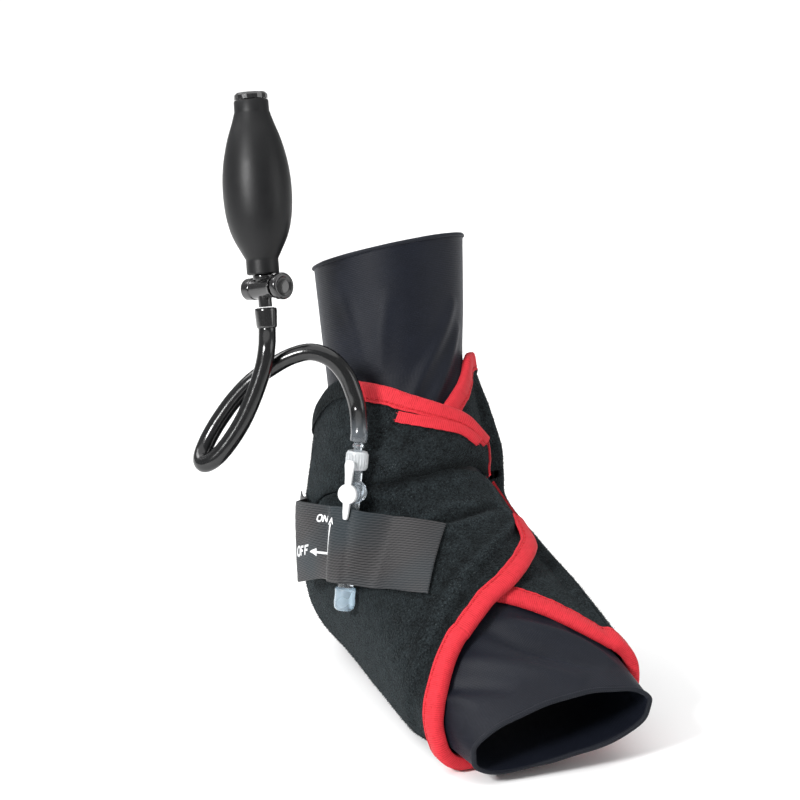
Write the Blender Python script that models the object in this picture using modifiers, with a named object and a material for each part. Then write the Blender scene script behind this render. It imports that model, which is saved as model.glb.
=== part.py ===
"""Cold compression ankle wrap on its undersleeve, with a squeeze-bulb inflator.

The wrap is shown closed on a right foot: toes towards -Y, the inner (big toe) side
towards +X, the sole flat on z = 0, millimetres inside the helpers and metres in the scene.

Every soft layer follows one foot form. A place on the form is (u, v): u counts the
stations from the leg opening (0) round the heel to the toe opening (10), and v is the
angle round the section in degrees, 0 at the front, 90 inner side, 180 back and sole,
270 outer side. Height is the distance outwards from the form in millimetres, so layers
that own different heights can't meet.
"""
import math

import bmesh
import bpy
from mathutils import Matrix, Vector

MM = 0.001

# y, z, tilt, front, back, half width, sweep, side shift, squareness of the back half, roll
FORM = (
    (92, 192, 24, 37, 40.0, 37, 0.00, 17, 2.0, 0.00),
    (80, 160, 22, 35, 38.0, 35, 0.00, 12, 2.0, 0.00),
    (69, 132, 22, 34, 36.0, 33, 0.00, 7, 2.0, 0.00),
    (57, 107, 27, 36, 41.0, 34, 0.00, 3, 2.0, 0.00),
    (48, 86, 37, 41, 57.0, 37, 0.00, 0, 2.1, 0.00),
    (40, 69, 51, 44, 78.0, 36, 0.00, -1, 2.4, 0.00),
    (26, 54, 68, 43, 59.0, 34, 0.00, -2, 2.6, 0.00),
    (-4, 40, 80, 37, 41.0, 37, 0.05, -3, 2.8, 0.05),
    (-38, 29, 88, 30, 31.5, 41, 0.12, -4, 2.8, 0.11),
    (-73, 19, 90, 21, 20.5, 44, 0.20, -6, 2.8, 0.15),
    (-107, 13, 90, 14, 14.5, 41, 0.26, -8, 2.8, 0.18),
)
SOLE_LIFT = 11.0          # the form's lowest ring stands this far up, on the sole padding
GROUND = ((7, 13.0), (8, 11.0), (8.6, 10.2), (9.2, 9.2))   # the height that just touches the floor, by station
SQUASH = 0.55             # how far the padding under the sole is pressed together

SLEEVE_TOP = 1.2          # heights of the layers over the form
LINING = (1.7, 2.5)
GEL = (3.0, 6.8)
BLADDER = (7.3, 8.9)
FRONT_TOP = 11.5          # outer face of the near wings over the instep
FAR_TOP = 5.4             # outer face of the far wings, which pass underneath
FLEECE = 3.6
FLEECE_UNDER = 3.1        # nothing of the wrap's fleece lies lower than this
TAPE = 0.9                # thickness of one leg of the binding tape


# ---------------------------------------------------------------- scene helpers

def clear_scene():
    for obj in list(bpy.data.objects):
        bpy.data.objects.remove(obj, do_unlink=True)


def make_collection(name, hidden=False):
    collection = bpy.data.collections.new(name)
    bpy.context.scene.collection.children.link(collection)
    collection.hide_render = hidden
    return collection


def material(name, color, roughness, metallic=0.0, transmission=0.0):
    mat = bpy.data.materials.new(name)
    mat.use_nodes = True
    shader = mat.node_tree.nodes["Principled BSDF"]
    shader.inputs["Base Color"].default_value = (*color, 1.0)
    shader.inputs["Roughness"].default_value = roughness
    shader.inputs["Metallic"].default_value = metallic
    shader.inputs["Transmission Weight"].default_value = transmission
    return mat


def add_object(name, bm, mat, origin=(0, 0, 0)):
    """Turn a bmesh in world millimetres into a named object with its origin at a point."""
    bmesh.ops.recalc_face_normals(bm, faces=bm.faces)
    if bm.calc_volume(signed=True) < 0:
        bmesh.ops.reverse_faces(bm, faces=bm.faces)
    shift = Vector(origin)
    bmesh.ops.transform(bm, matrix=Matrix.Scale(MM, 4) @ Matrix.Translation(-shift), verts=bm.verts)
    mesh = bpy.data.meshes.new(name)
    bm.to_mesh(mesh)
    bm.free()
    obj = bpy.data.objects.new(name, mesh)
    obj.location = shift * MM
    obj.data.materials.append(mat)
    PARTS.objects.link(obj)
    return obj


def add_pivot(name, origin, parent=None):
    pivot = bpy.data.objects.new(name, None)
    pivot.empty_display_size = 0.01
    pivot.location = Vector(origin) * MM
    PARTS.objects.link(pivot)
    if parent:
        attach(pivot, parent)
    return pivot


def attach(obj, parent):
    bpy.context.view_layer.update()
    obj.parent = parent
    obj.matrix_parent_inverse = parent.matrix_world.inverted()


# ---------------------------------------------------------------- the foot form

def table(pairs, x):
    """Read a smooth value from (x, value) pairs."""
    if x <= pairs[0][0]:
        return pairs[0][1]
    for (x0, y0), (x1, y1) in zip(pairs, pairs[1:]):
        if x <= x1:
            return y0 + (y1 - y0) * (x - x0) / (x1 - x0)
    return pairs[-1][1]


def station(u):
    """Catmull-Rom blend of the form's stations."""
    last = len(FORM) - 1
    u = min(max(u, 0.0), last - 1e-9)
    i = int(u)
    t = u - i
    b, c = FORM[i], FORM[i + 1]
    a = FORM[i - 1] if i else [2 * p - q for p, q in zip(b, c)]
    d = FORM[i + 2] if i + 2 <= last else [2 * q - p for p, q in zip(b, c)]
    return [0.5 * (2 * q + (r - p) * t + (2 * p - 5 * q + 4 * r - s) * t * t
                   + (3 * q - p - 3 * r + s) * t ** 3)
            for p, q, r, s in zip(a, b, c, d)]


def form_point(u, v, height=0.0):
    y, z, tilt, front, back, half, sweep, shift, square, roll = station(u)
    tilt = math.radians(tilt)
    c, s = math.cos(math.radians(v)), math.sin(math.radians(v))
    power = 2.0 if c > 0 else square
    r = (abs(c) ** power + abs(s) ** power) ** (-1 / power)
    depth = c * r * ((front if c > 0 else back) + height)
    x = s * r * (half + height)
    return Vector((shift + x,
                   y - depth * math.cos(tilt) - sweep * x,
                   max(z + depth * math.sin(tilt) + roll * x + SOLE_LIFT,
                       SQUASH * (table(GROUND, u) - height), 0.0)))


def ease(t):
    t = min(max(t, 0.0), 1.0)
    return t * t * (3 - 2 * t)


WRAP_TOP = ((1.6, 5.6), (2.05, 6.9), (2.5, 9.6), (2.8, 11.3), (3.2, 12.4), (4, 13), (7, 13), (8, 11),
            (8.6, 9), (9.2, 7.0), (9.6, 6.8))
ROWS = [2.8, 3.2, 3.6, 4.0, 4.3, 4.55, 4.8, 5.0, 5.2, 5.4, 5.65, 5.9, 6.2, 6.5, 6.9, 7.3, 7.8, 8.2, 8.6]
LANE = 12                 # degrees between the shared lines along the form


def near_top(u, v):
    """Outer face of the shell and of the wings on the outer side of the foot."""
    h = table(WRAP_TOP, u)
    front = ease((v - 324) / 26)
    return h + (FRONT_TOP - h) * front


def near_under(u, v):
    h = near_top(u, v)
    return h - min(FLEECE - ease((v - 324) / 26), h - FLEECE_UNDER)


def far_top(u, v):
    """Outer face of the two far wings, rising to meet the shell at the inner side."""
    h = table(WRAP_TOP, u)
    return FAR_TOP + (h - FAR_TOP) * ease((v - 51.5) / 8)


def far_under(u, v):
    return max(far_top(u, v) - FLEECE, FLEECE_UNDER)


def level(height):
    return lambda u, v: height


# ---------------------------------------------------------------- soft layers

def curve_point(points, t):
    """A point at t in 0..1 on the smooth line through (u, v) points."""
    x = min(max(t, 0.0), 1.0) * (len(points) - 1)
    i = min(int(x), len(points) - 2)
    f = x - i
    b, c = points[i], points[i + 1]
    a = points[i - 1] if i else (2 * b[0] - c[0], 2 * b[1] - c[1])
    d = points[i + 2] if i + 2 < len(points) else (2 * c[0] - b[0], 2 * c[1] - b[1])
    return tuple(0.5 * (2 * q + (r - p) * f + (2 * p - 5 * q + 4 * r - s) * f * f
                        + (3 * q - p - 3 * r + s) * f ** 3)
                 for p, q, r, s in zip(a, b, c, d))


def between(upper, lower):
    """Places on the surface ruled between two edge lines, for s and t in 0..1."""
    def place(s, t):
        top, bottom = curve_point(upper, s), curve_point(lower, s)
        return top[0] + (bottom[0] - top[0]) * t, top[1] + (bottom[1] - top[1]) * t
    return place


def on_rows(first, last, rows):
    """Places on shared rows of the form, so stacked layers have parallel facets."""
    def place(s, t):
        v = first + (last - first) * s
        line = rows(v) if callable(rows) else rows
        return line[round(t * (len(line) - 1))], v
    return place


def slab(name, mat, place, cells, under, over, pinch=0.22):
    """A closed pad on the form, from a grid that is extruded and laid where place says."""
    across, along = cells
    bm = bmesh.new()
    bmesh.ops.create_grid(bm, x_segments=across, y_segments=along, size=0.5)
    grown = bmesh.ops.extrude_face_region(bm, geom=list(bm.faces))
    outer = {e for e in grown["geom"] if isinstance(e, bmesh.types.BMVert)}
    for vert in bm.verts:
        s, t = vert.co.x + 0.5, vert.co.y + 0.5
        u, v = place(s, t)
        low, high = under(u, v), over(u, v)
        if min(s, t, 1 - s, 1 - t) < 1e-4:
            low, high = low + pinch * (high - low), high - pinch * (high - low)
        vert.co = form_point(u, v, high if vert in outer else low)
    return name, bm, mat


def ring(name, mat, around, path):
    """A closed tube round the form, from a torus primitive; path(t) gives (u, height)."""
    bpy.ops.mesh.primitive_torus_add(major_segments=around, minor_segments=len(path),
                                     major_radius=1.0, minor_radius=0.25)
    source = bpy.context.object
    bm = bmesh.new()
    bm.from_mesh(source.data)
    bpy.data.objects.remove(source, do_unlink=True)
    for vert in bm.verts:
        x, y, z = vert.co
        v = math.degrees(math.atan2(y, x)) % 360
        minor = math.atan2(z, math.hypot(x, y) - 1.0) % math.tau
        u, height = path[round(minor / math.tau * len(path)) % len(path)]
        vert.co = form_point(u, v, height)
    return name, bm, mat


def slide(u, v, direction, distance):
    """The (u, v) reached by going a distance in a direction along the surface."""
    e = 0.01
    du = (form_point(u + e, v, 8) - form_point(u - e, v, 8)) / (2 * e)
    dv = (form_point(u, v + e * 40, 8) - form_point(u, v - e * 40, 8)) / (80 * e)
    a, b, c = du.dot(du), du.dot(dv), dv.dot(dv)
    p, q = direction.dot(du), direction.dot(dv)
    det = a * c - b * b
    return u + distance * (p * c - q * b) / det, v + distance * (q * a - p * b) / det


def offset_line(line, distance, count=12, start=0.0, end=1.0):
    """The line moved sideways over the surface, towards the toes when distance is positive."""
    moved = []
    for i in range(count + 1):
        t = start + (end - start) * i / count
        u, v = curve_point(line, t)
        along = (form_point(*curve_point(line, min(t + 0.02, 1)), 8)
                 - form_point(*curve_point(line, max(t - 0.02, 0)), 8))
        out = form_point(u, v, 12) - form_point(u, v, 4)
        moved.append(slide(u, v, along.cross(out).normalized(), distance))
    return moved


def strip(name, mat, line, cuts, section, heights, inward=1.0, span=(0.0, 1.0)):
    """A tape swept along a (u, v) line, from a cylinder primitive cut into lengths.

    section lists (distance inwards, which face, distance above it); heights gives the faces.
    """
    bm = bmesh.new()
    bmesh.ops.create_cone(bm, cap_ends=True, segments=len(section), radius1=1, radius2=1, depth=1)
    for i in range(1, cuts):
        geom = list(bm.verts) + list(bm.edges) + list(bm.faces)
        bmesh.ops.bisect_plane(bm, geom=geom, plane_co=(0, 0, i / cuts - 0.5), plane_no=(0, 0, 1))
    first = math.atan2(1, 0)
    places = []
    for i in range(cuts + 1):
        t = span[0] + (span[1] - span[0]) * i / cuts
        u, v = curve_point(line, t)
        ahead = curve_point(line, min(t + 0.01, 1.0))
        behind = curve_point(line, max(t - 0.01, 0.0))
        along = form_point(*ahead, 8) - form_point(*behind, 8)
        out = form_point(u, v, 12) - form_point(u, v, 4)
        places.append((u, v, along.cross(out).normalized() * inward))
    for vert in bm.verts:
        u, v, side = places[round((vert.co.z + 0.5) * cuts)]
        turn = (math.atan2(vert.co.y, vert.co.x) - first) % math.tau
        distance, face, lift = section[round(turn / math.tau * len(section)) % len(section)]
        su, sv = slide(u, v, side, distance)
        vert.co = form_point(su, sv, heights[face](su, sv) + lift)
    return name, bm, mat


def binding_section(outer=7.5, inner=4.5, gap=0.4):
    """A tape folded over a fleece edge: face 0 is the fleece's outside, 1 its inside."""
    return ((outer, 0, gap), (outer, 0, gap + TAPE), (3.0, 0, gap + TAPE + 0.2), (-0.8, 0, gap + TAPE),
            (-1.7, 0, 0.2), (-1.7, 1, -0.2), (-0.8, 1, -gap - 0.7), (inner, 1, -gap - 0.7),
            (inner, 1, -gap), (-0.7, 1, -gap), (-0.7, 0, gap))


# ---------------------------------------------------------------- round hardware

def axis_matrix(origin, z_axis, x_hint=(1, 0, 0)):
    z = Vector(z_axis).normalized()
    y = z.cross(Vector(x_hint)).normalized()
    x = y.cross(z)
    turn = Matrix((x, y, z)).transposed().to_4x4()
    return Matrix.Translation(Vector(origin)) @ turn


def lathe(name, mat, profile, frame, origin=None, steps=20, closed=False):
    """A turned piece: a (radius, length) line spun round its local Z by a Screw modifier."""
    turn = sum(a[0] * b[1] - b[0] * a[1] for a, b in zip(profile, profile[1:] + profile[:1]))
    if turn > 0:
        profile = profile[::-1]
    bm = bmesh.new()
    verts = [bm.verts.new((r * MM, 0, z * MM)) for r, z in profile]
    for a, b in zip(verts, verts[1:]):
        bm.edges.new((a, b))
    if closed:
        bm.edges.new((verts[-1], verts[0]))
    mesh = bpy.data.meshes.new(name)
    bm.to_mesh(mesh)
    bm.free()
    obj = bpy.data.objects.new(name, mesh)
    PARTS.objects.link(obj)
    screw = obj.modifiers.new("Turn", "SCREW")
    screw.steps = steps
    screw.render_steps = steps
    screw.use_merge_vertices = True
    screw.merge_threshold = 1e-5
    placed = frame.copy()
    placed.translation *= MM
    obj.matrix_world = placed
    obj.data.materials.append(mat)
    return obj


def cylinder(name, radius, start, end, frame, segments=20, hidden=True):
    """A plain cylinder along the frame's Z, used to build up or cut a valve body."""
    bm = bmesh.new()
    bmesh.ops.create_cone(bm, cap_ends=True, segments=segments, radius1=radius * MM,
                          radius2=radius * MM, depth=(end - start) * MM)
    mesh = bpy.data.meshes.new(name)
    bm.to_mesh(mesh)
    bm.free()
    obj = bpy.data.objects.new(name, mesh)
    (CUTTERS if hidden else PARTS).objects.link(obj)
    placed = frame @ Matrix.Translation((0, 0, (start + end) / 2))
    placed.translation *= MM
    obj.matrix_world = placed
    if hidden:
        obj.display_type = "WIRE"
        obj.hide_render = True
    return obj


def box(name, size, centre, frame):
    """A cutter block given by its size and centre in the frame."""
    bm = bmesh.new()
    bmesh.ops.create_cube(bm, size=MM)
    bmesh.ops.scale(bm, vec=size, verts=bm.verts)
    mesh = bpy.data.meshes.new(name)
    bm.to_mesh(mesh)
    bm.free()
    obj = bpy.data.objects.new(name, mesh)
    CUTTERS.objects.link(obj)
    placed = frame @ Matrix.Translation(centre)
    placed.translation *= MM
    obj.matrix_world = placed
    obj.display_type = "WIRE"
    obj.hide_render = True
    return obj


def boolean(target, tool, operation):
    modifier = target.modifiers.new(tool.name, "BOOLEAN")
    modifier.operation = operation
    modifier.solver = "EXACT"
    modifier.object = tool


# ---------------------------------------------------------------- build

clear_scene()
PARTS = make_collection("ColdCompressionWrap")
CUTTERS = make_collection("Cutters", hidden=True)

charcoal = material("fleece", (0.030, 0.033, 0.036), 0.95)
sleeve_mat = material("sleeve_knit", (0.028, 0.030, 0.038), 0.75)
hem_mat = material("hem", (0.020, 0.021, 0.027), 0.8)
lining_mat = material("lining", (0.050, 0.052, 0.058), 0.9)
gel_mat = material("gel_film", (0.12, 0.28, 0.55), 0.35)
bladder_mat = material("bladder_film", (0.35, 0.38, 0.40), 0.4)
red_mat = material("binding_tape", (0.78, 0.05, 0.07), 0.7)
hook_mat = material("hook_tape", (0.012, 0.012, 0.013), 0.8)
web_mat = material("webbing", (0.055, 0.060, 0.064), 0.7)
clear_mat = material("clear_plastic", (0.80, 0.86, 0.90), 0.15, transmission=0.8)
white_mat = material("white_plastic", (0.85, 0.86, 0.87), 0.35)
hose_mat = material("hose_vinyl", (0.035, 0.036, 0.038), 0.25)
valve_mat = material("valve_plastic", (0.018, 0.018, 0.020), 0.2)
bulb_mat = material("bulb_rubber", (0.022, 0.022, 0.024), 0.55)
rubber_mat = material("seal_rubber", (0.30, 0.05, 0.04), 0.6)
steel_mat = material("spring_steel", (0.60, 0.60, 0.62), 0.25, metallic=1.0)

# Undersleeve: one wall out, one wall back, then a rolled hem at each opening.
lengths = [0.12, 0.8, 1.5, 2.2] + ROWS + [9.05, 9.5, 9.88]
add_object(*ring("compression_sleeve", sleeve_mat, 360 // LANE,
                 [(u, SLEEVE_TOP) for u in lengths] + [(u, 0.0) for u in reversed(lengths)]))
for hem, edge, way in (("sleeve_top_hem", 0.06, -1), ("sleeve_toe_hem", 9.95, 1)):
    span = 2.2 / (35 if way < 0 else 34)
    loop = [(edge + way * span * 0.1 + span * 0.52 * math.cos(a), 0.7 + 1.35 * math.sin(a))
            for a in (math.tau * k / 6 for k in range(6))]
    add_object(*ring(hem, hem_mat, 360 // LANE, loop))

# Edge lines of the fleece, read the same way round for pad and binding.
SHELL_TOP = [(1.90, 60), (2.10, 100), (2.45, 170), (2.40, 230), (1.90, 280), (2.08, 324)]
SHELL_FOOT = [(9.15, 60), (9.25, 100), (9.30, 170), (9.42, 240), (9.22, 285), (8.74, 324)]
PANEL_TOP = [(5.02, 325), (5.24, 333), (5.42, 342), (5.50, 351)]
PANEL_FOOT = [(8.73, 325), (8.66, 333), (8.56, 342), (8.45, 351)]
TIP_TOP = [(5.52, 353), (5.58, 365), (5.78, 382), (6.12, 397), (6.40, 405)]
TIP_FOOT = [(8.42, 353), (8.26, 367), (7.95, 383), (7.55, 397), (6.95, 406)]
UPPER_TOP = [(2.10, 325), (2.40, 339), (2.80, 361), (3.20, 379), (3.95, 393)]
UPPER_FOOT = [(4.85, 325), (5.16, 339), (5.32, 361), (5.50, 379), (5.90, 400)]
FAR_UPPER_TOP = [(1.85, 59.3), (1.95, 46), (2.25, 34), (2.72, 10), (3.20, -8), (3.60, -22)]
FAR_UPPER_FOOT = [(5.00, 59.3), (5.00, 46), (4.90, 32), (4.80, 12), (4.70, -6), (4.60, -22)]
FAR_LOWER_TOP = [(5.30, 59.3), (5.60, 43), (6.10, 18), (6.60, 2), (6.90, -10)]
FAR_LOWER_FOOT = [(9.13, 59.3), (8.97, 43), (8.60, 20), (8.35, 3), (8.18, -10)]

# Wrap, from the inside out.


def edge_at(line, v):
    return table([(point[1], point[0]) for point in (curve_point(line, i / 40) for i in range(41))], v)


def shell_rows(v):
    top, foot = edge_at(SHELL_TOP, v), edge_at(SHELL_FOOT, v)
    return [top, (top + 2.8) / 2] + ROWS[:-1] + [8.2 + (foot - 8.2) / 2, foot]


def layer(name, mat, first, last, rows, heights):
    lanes = round((last - first) / LANE)
    add_object(*slab(name, mat, on_rows(first, last, rows), (lanes, len(rows) - 1), level(heights[0]),
                     level(heights[1])))


layer("wrap_lining", lining_mat, 72, 312, ROWS, LINING)
layer("gel_pad_outer", gel_mat, 204, 312, ROWS[2:-2], GEL)
layer("gel_pad_inner", gel_mat, 72, 156, ROWS[2:-2], GEL)
layer("air_bladder", bladder_mat, 72, 312, ROWS[3:-3], BLADDER)
add_object(*slab("heel_shell", charcoal, on_rows(60, 324, shell_rows), (22, len(shell_rows(180)) - 1),
                 near_under, near_top))
add_object(*slab("instep_panel", charcoal, between(PANEL_TOP, PANEL_FOOT), (3, 11), near_under, near_top))
add_object(*slab("far_upper_wing", charcoal, between(FAR_UPPER_TOP, FAR_UPPER_FOOT), (9, 6), far_under, far_top))
add_object(*slab("far_lower_wing", charcoal, between(FAR_LOWER_TOP, FAR_LOWER_FOOT), (9, 8), far_under, far_top))

# Each near wing folds outwards about a straight line laid on its outer face.
UPPER_HINGE = form_point(3.2, 324.5, near_top(3.2, 324.5) + 0.5)
TIP_HINGE = form_point(8.43, 352, near_top(8.43, 352) + 1.8)
upper_pivot = add_pivot("upper_wing_pivot", UPPER_HINGE)
upper = add_object(*slab("near_upper_wing", charcoal, between(UPPER_TOP, UPPER_FOOT), (9, 6), near_under,
                         near_top), origin=UPPER_HINGE)
tip_pivot = add_pivot("lower_wing_pivot", TIP_HINGE)
tip = add_object(*slab("near_lower_wing", charcoal, between(TIP_TOP, TIP_FOOT), (8, 8), near_under, near_top),
                 origin=TIP_HINGE)

# Binding tape folded over every free edge.
near = (near_top, near_under)
far = (far_top, far_under)
add_object(*strip("binding_shell_top", red_mat, SHELL_TOP, 26, binding_section(gap=0.5), near, span=(0.022, 0.982)))
add_object(*strip("binding_far_upper", red_mat, FAR_UPPER_TOP, 9, binding_section(gap=0.5), far, -1, span=(0.03, 1)))
add_object(*strip("binding_far_lower", red_mat, FAR_LOWER_FOOT, 9, binding_section(), far, span=(0.05, 1)))
add_object(*strip("binding_shell_foot", red_mat, SHELL_FOOT[:-1] + [(8.74, 324)] + PANEL_FOOT[1:], 34,
                  binding_section(), near, -1, span=(0.012, 1)))
wing_pieces = [
    add_object(*strip("binding_upper_wing", red_mat, UPPER_TOP, 9, binding_section(6.8), near, span=(0.06, 1)),
               origin=UPPER_HINGE),
    add_object(*strip("binding_upper_row_two", red_mat, offset_line(UPPER_TOP, 10.8, 6, 0.22, 0.84), 7,
                      ((-3, 0, 0.5), (-3, 0, 1.4), (3, 0, 1.4), (3, 0, 0.5)), near),
               origin=UPPER_HINGE),
    add_object(*strip("hook_tab_upper", hook_mat, [(4.28, 393.6), (4.6, 394.9), (4.95, 396.4), (5.3, 397.9)], 6,
                      ((-2.2, 1, -1.7), (-2.2, 1, -0.5), (7, 1, -0.5), (7, 1, -1.7)), near),
               origin=UPPER_HINGE),
]
tip_pieces = [
    add_object(*strip("binding_lower_wing", red_mat, TIP_FOOT, 8, binding_section(gap=0.5), near, -1,
                      span=(0.03, 1)),
               origin=TIP_HINGE),
    add_object(*strip("hook_tab_lower", hook_mat, [(7.72, 374), (7.50, 384), (7.22, 393)], 4,
                      ((0, 1, -1.7), (0, 1, -0.5), (9, 1, -0.5), (9, 1, -1.7)), near, -1),
               origin=TIP_HINGE),
]
for piece in [upper] + wing_pieces:
    attach(piece, upper_pivot)
for piece in [tip] + tip_pieces:
    attach(piece, tip_pivot)

# Stopcock on the outer side, its flow line running down to the bladder's port.
VALVE = Vector((-46.9, 18.1, 108.9))
FLOW = Vector((0.19, 0.13, 0.973)).normalized()
FACE = Vector((-0.81, -0.57, 0.142))
FACE = (FACE - FLOW * FACE.dot(FLOW)).normalized()
flow = axis_matrix(VALVE, FLOW, FACE)
face = axis_matrix(VALVE, FACE, FLOW)

body = cylinder("stopcock_body", 5.3, -4.6, 5.4, face, 24, hidden=False)
body.data.materials.append(clear_mat)
boolean(body, cylinder("body_barrel", 3.3, -10.0, 17.0, flow), "UNION")
boolean(body, cylinder("luer_socket", 2.3, 9.5, 18.0, flow), "DIFFERENCE")
boolean(body, cylinder("lever_seat", 2.6, 2.0, 6.0, face), "DIFFERENCE")

# Lever: round hub on a stem in the body, a long arm up the hose and a short arm down.
lever = cylinder("stopcock_lever", 4.9, 6.2, 8.8, face, 20, hidden=False)
lever.data.materials.append(white_mat)
boolean(lever, cylinder("lever_stem", 2.2, 2.6, 7.0, face), "UNION")
boolean(lever, box("lever_long_arm", (16.5, 4.6, 2.0), (8.25, 0, 7.6), face), "UNION")
boolean(lever, box("lever_short_arm", (12.5, 4.0, 2.0), (-6.25, 0, 7.6), face), "UNION")

tube = lathe("port_tube", clear_mat, [(0, -10.6), (3.8, -10.6), (3.8, -46.5), (0, -46.5)], flow)
lathe("port_end_cap", clear_mat, [(0, -46.9), (5.2, -46.9), (5.2, -54.5), (4.4, -56.8), (2.4, -58.0), (0, -58.2)],
      flow)

# Bridge strap over the port tube.
tube_a, tube_b = VALVE, VALVE - FLOW * 47


def strap_under(u, v):
    base = form_point(u, v, near_top(u, v))
    foot = tube_a + (tube_b - tube_a) * min(max((base - tube_a).dot(tube_b - tube_a) / 47 ** 2, 0), 1)
    return near_top(u, v) + 0.5 + 11.3 * ease(1.27 - math.sqrt(max((base - foot).length ** 2 - 36, 0)) / 17)


STRAP_TOP = [(3.55, 241), (3.80, 258), (4.00, 271), (4.40, 284), (5.08, 296), (5.72, 303), (6.12, 309), (6.40, 319),
             (6.80, 334), (7.12, 347)]
STRAP_FOOT = [(4.63, 234), (4.95, 245), (5.25, 253), (5.60, 261), (6.15, 272), (6.70, 285), (7.03, 293), (7.28, 301),
              (7.63, 312), (7.94, 323)]
add_object(*slab("bridge_strap", web_mat, between(STRAP_TOP, STRAP_FOOT), (27, 6), strap_under,
                 lambda u, v: strap_under(u, v) + 0.9, pinch=0.1))

# Inflator line: luer lock, hose, T valve with its release button, and the squeeze bulb.
pump = add_pivot("pump_pivot", VALVE + FLOW * 16)
fitting = lathe("luer_fitting", clear_mat,
                [(0, 10.2), (1.9, 10.2), (2.0, 17.2), (3.0, 17.8), (3.0, 18.8), (2.0, 19.2), (2.0, 22.2), (2.9, 22.4),
                 (2.1, 24.6), (0, 24.8)], flow)
collar = lathe("luer_collar", clear_mat,
               [(3.75, 11.4), (5.0, 11.4), (5.4, 12.2), (5.4, 19.2), (4.6, 20.4), (2.5, 20.4), (2.5, 19.5),
                (3.75, 19.5)], flow, closed=True)

TEE = Vector((-68.0, 66.0, 203.5))
LINE = Vector((0.12, 0.33, 1.0)).normalized()
PUSH = Vector((0.25, -0.92, 0.27)).normalized()
PUSH = (PUSH - LINE * PUSH.dot(LINE)).normalized()
line = axis_matrix(TEE, LINE, PUSH)
push = axis_matrix(TEE, PUSH, LINE)

HOSE_RADIUS = 4.25
HOSE_ROUTE = [VALVE + FLOW * 25.4, VALVE + FLOW * 30, (-38.2, 28.5, 146.7), (-38.8, 31.5, 154.7),
              (-40.8, 35.6, 163.2), (-45.8, 40.9, 170.6), (-53.0, 47.3, 173.5), (-61.0, 53.3, 170.9),
              (-69.0, 58.6, 165.3), (-77.4, 63.4, 158.3), (-85.4, 67.0, 149.3), (-92.0, 68.8, 140.7),
              (-97.6, 69.4, 132.9), (-102.4, 68.0, 126.3), (-105.4, 64.8, 122.7), (-106.0, 60.6, 121.9),
              (-103.6, 57.0, 124.1), (-99.6, 54.8, 128.3), (-94.4, 53.2, 134.9), (-89.0, 52.2, 142.9),
              (-84.2, 52.0, 151.5), (-79.8, 52.4, 160.3), (-76.0, 53.2, 168.9), (-73.2, 55.0, 177.1),
              TEE - LINE * 21, TEE - LINE * 15, TEE - LINE * 9.6]
hose_curve = bpy.data.curves.new("hose", "CURVE")
hose_curve.dimensions = "3D"
hose_curve.bevel_depth = HOSE_RADIUS * MM
hose_curve.bevel_resolution = 2
hose_curve.use_fill_caps = True
spline = hose_curve.splines.new("POLY")
spline.points.add(len(HOSE_ROUTE) - 1)
for point, co in zip(spline.points, HOSE_ROUTE):
    point.co = (*(Vector(co) * MM), 1.0)
hose = bpy.data.objects.new("hose", hose_curve)
hose.data.materials.append(hose_mat)
PARTS.objects.link(hose)

tee = cylinder("tee_valve_body", 5.5, -12.0, 8.5, push, 24, hidden=False)
tee.data.materials.append(valve_mat)
boolean(tee, cylinder("tee_neck", 3.9, 0.0, 15.0, line), "UNION")
boolean(tee, cylinder("tee_shoulder", 5.2, 4.0, 6.2, line), "UNION")
boolean(tee, cylinder("tee_spigot", 3.3, -9.2, 0.0, line), "UNION")
boolean(tee, cylinder("button_bore", 4.2, 1.5, 9.5, push), "DIFFERENCE")
boolean(tee, cylinder("check_bore", 2.7, 9.0, 16.0, line), "DIFFERENCE")

cuff = lathe("hose_cuff", valve_mat, [(4.6, -19.5), (5.5, -19.5), (5.5, -9.8), (4.6, -9.8)], line, closed=True)
button = lathe("release_button", valve_mat,
               [(0, 3.8), (1.8, 3.8), (1.8, 10.8), (6.1, 10.8), (6.6, 11.4), (6.6, 14.2), (6.1, 14.9), (5.4, 14.6),
                (3.5, 13.5), (0, 13.1)], push)

wire = bpy.data.curves.new("button_spring", "CURVE")
wire.dimensions = "3D"
wire.bevel_depth = 0.35 * MM
wire.bevel_resolution = 1
wire.use_fill_caps = True
turns, per_turn = 4, 12
coil = wire.splines.new("POLY")
coil.points.add(turns * per_turn)
for k, point in enumerate(coil.points):
    a = math.tau * k / per_turn
    height = 4.3 + 6.0 * k / (turns * per_turn)
    point.co = (*(push @ Vector((2.9 * math.cos(a), 2.9 * math.sin(a), height)) * MM), 1.0)
spring = bpy.data.objects.new("button_spring", wire)
spring.data.materials.append(steel_mat)
PARTS.objects.link(spring)

outlet = lathe("outlet_check_disc", rubber_mat, [(0, 12.6), (2.2, 12.6), (2.2, 13.4), (0, 13.4)], line, steps=16)
bulb = lathe("squeeze_bulb", bulb_mat,
             [(7.4, 6.6), (7.9, 8.0), (7.9, 14.0), (10.0, 18.0), (13.4, 25.0), (15.6, 33.0), (16.6, 42.0),
              (16.6, 52.0), (15.4, 62.0), (13.0, 72.0), (10.2, 80.0), (8.4, 85.0), (8.4, 91.0), (5.0, 91.0),
              (5.0, 84.0), (7.2, 80.0), (10.2, 72.0), (12.8, 62.0), (14.0, 50.0), (13.8, 40.0), (10.6, 25.0),
              (7.0, 18.0), (4.3, 15.4), (4.3, 6.6)], line, closed=True, steps=24)
intake = lathe("intake_valve_seat", valve_mat,
               [(3.4, 83.0), (4.6, 83.0), (4.6, 91.4), (8.2, 91.4), (8.2, 93.4), (7.0, 94.6), (1.4, 94.6), (1.4, 88.0),
                (3.4, 88.0)], line, closed=True)
intake_disc = lathe("intake_check_disc", rubber_mat, [(0, 86.8), (3.0, 86.8), (3.0, 87.6), (0, 87.6)], line, steps=16)

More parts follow.
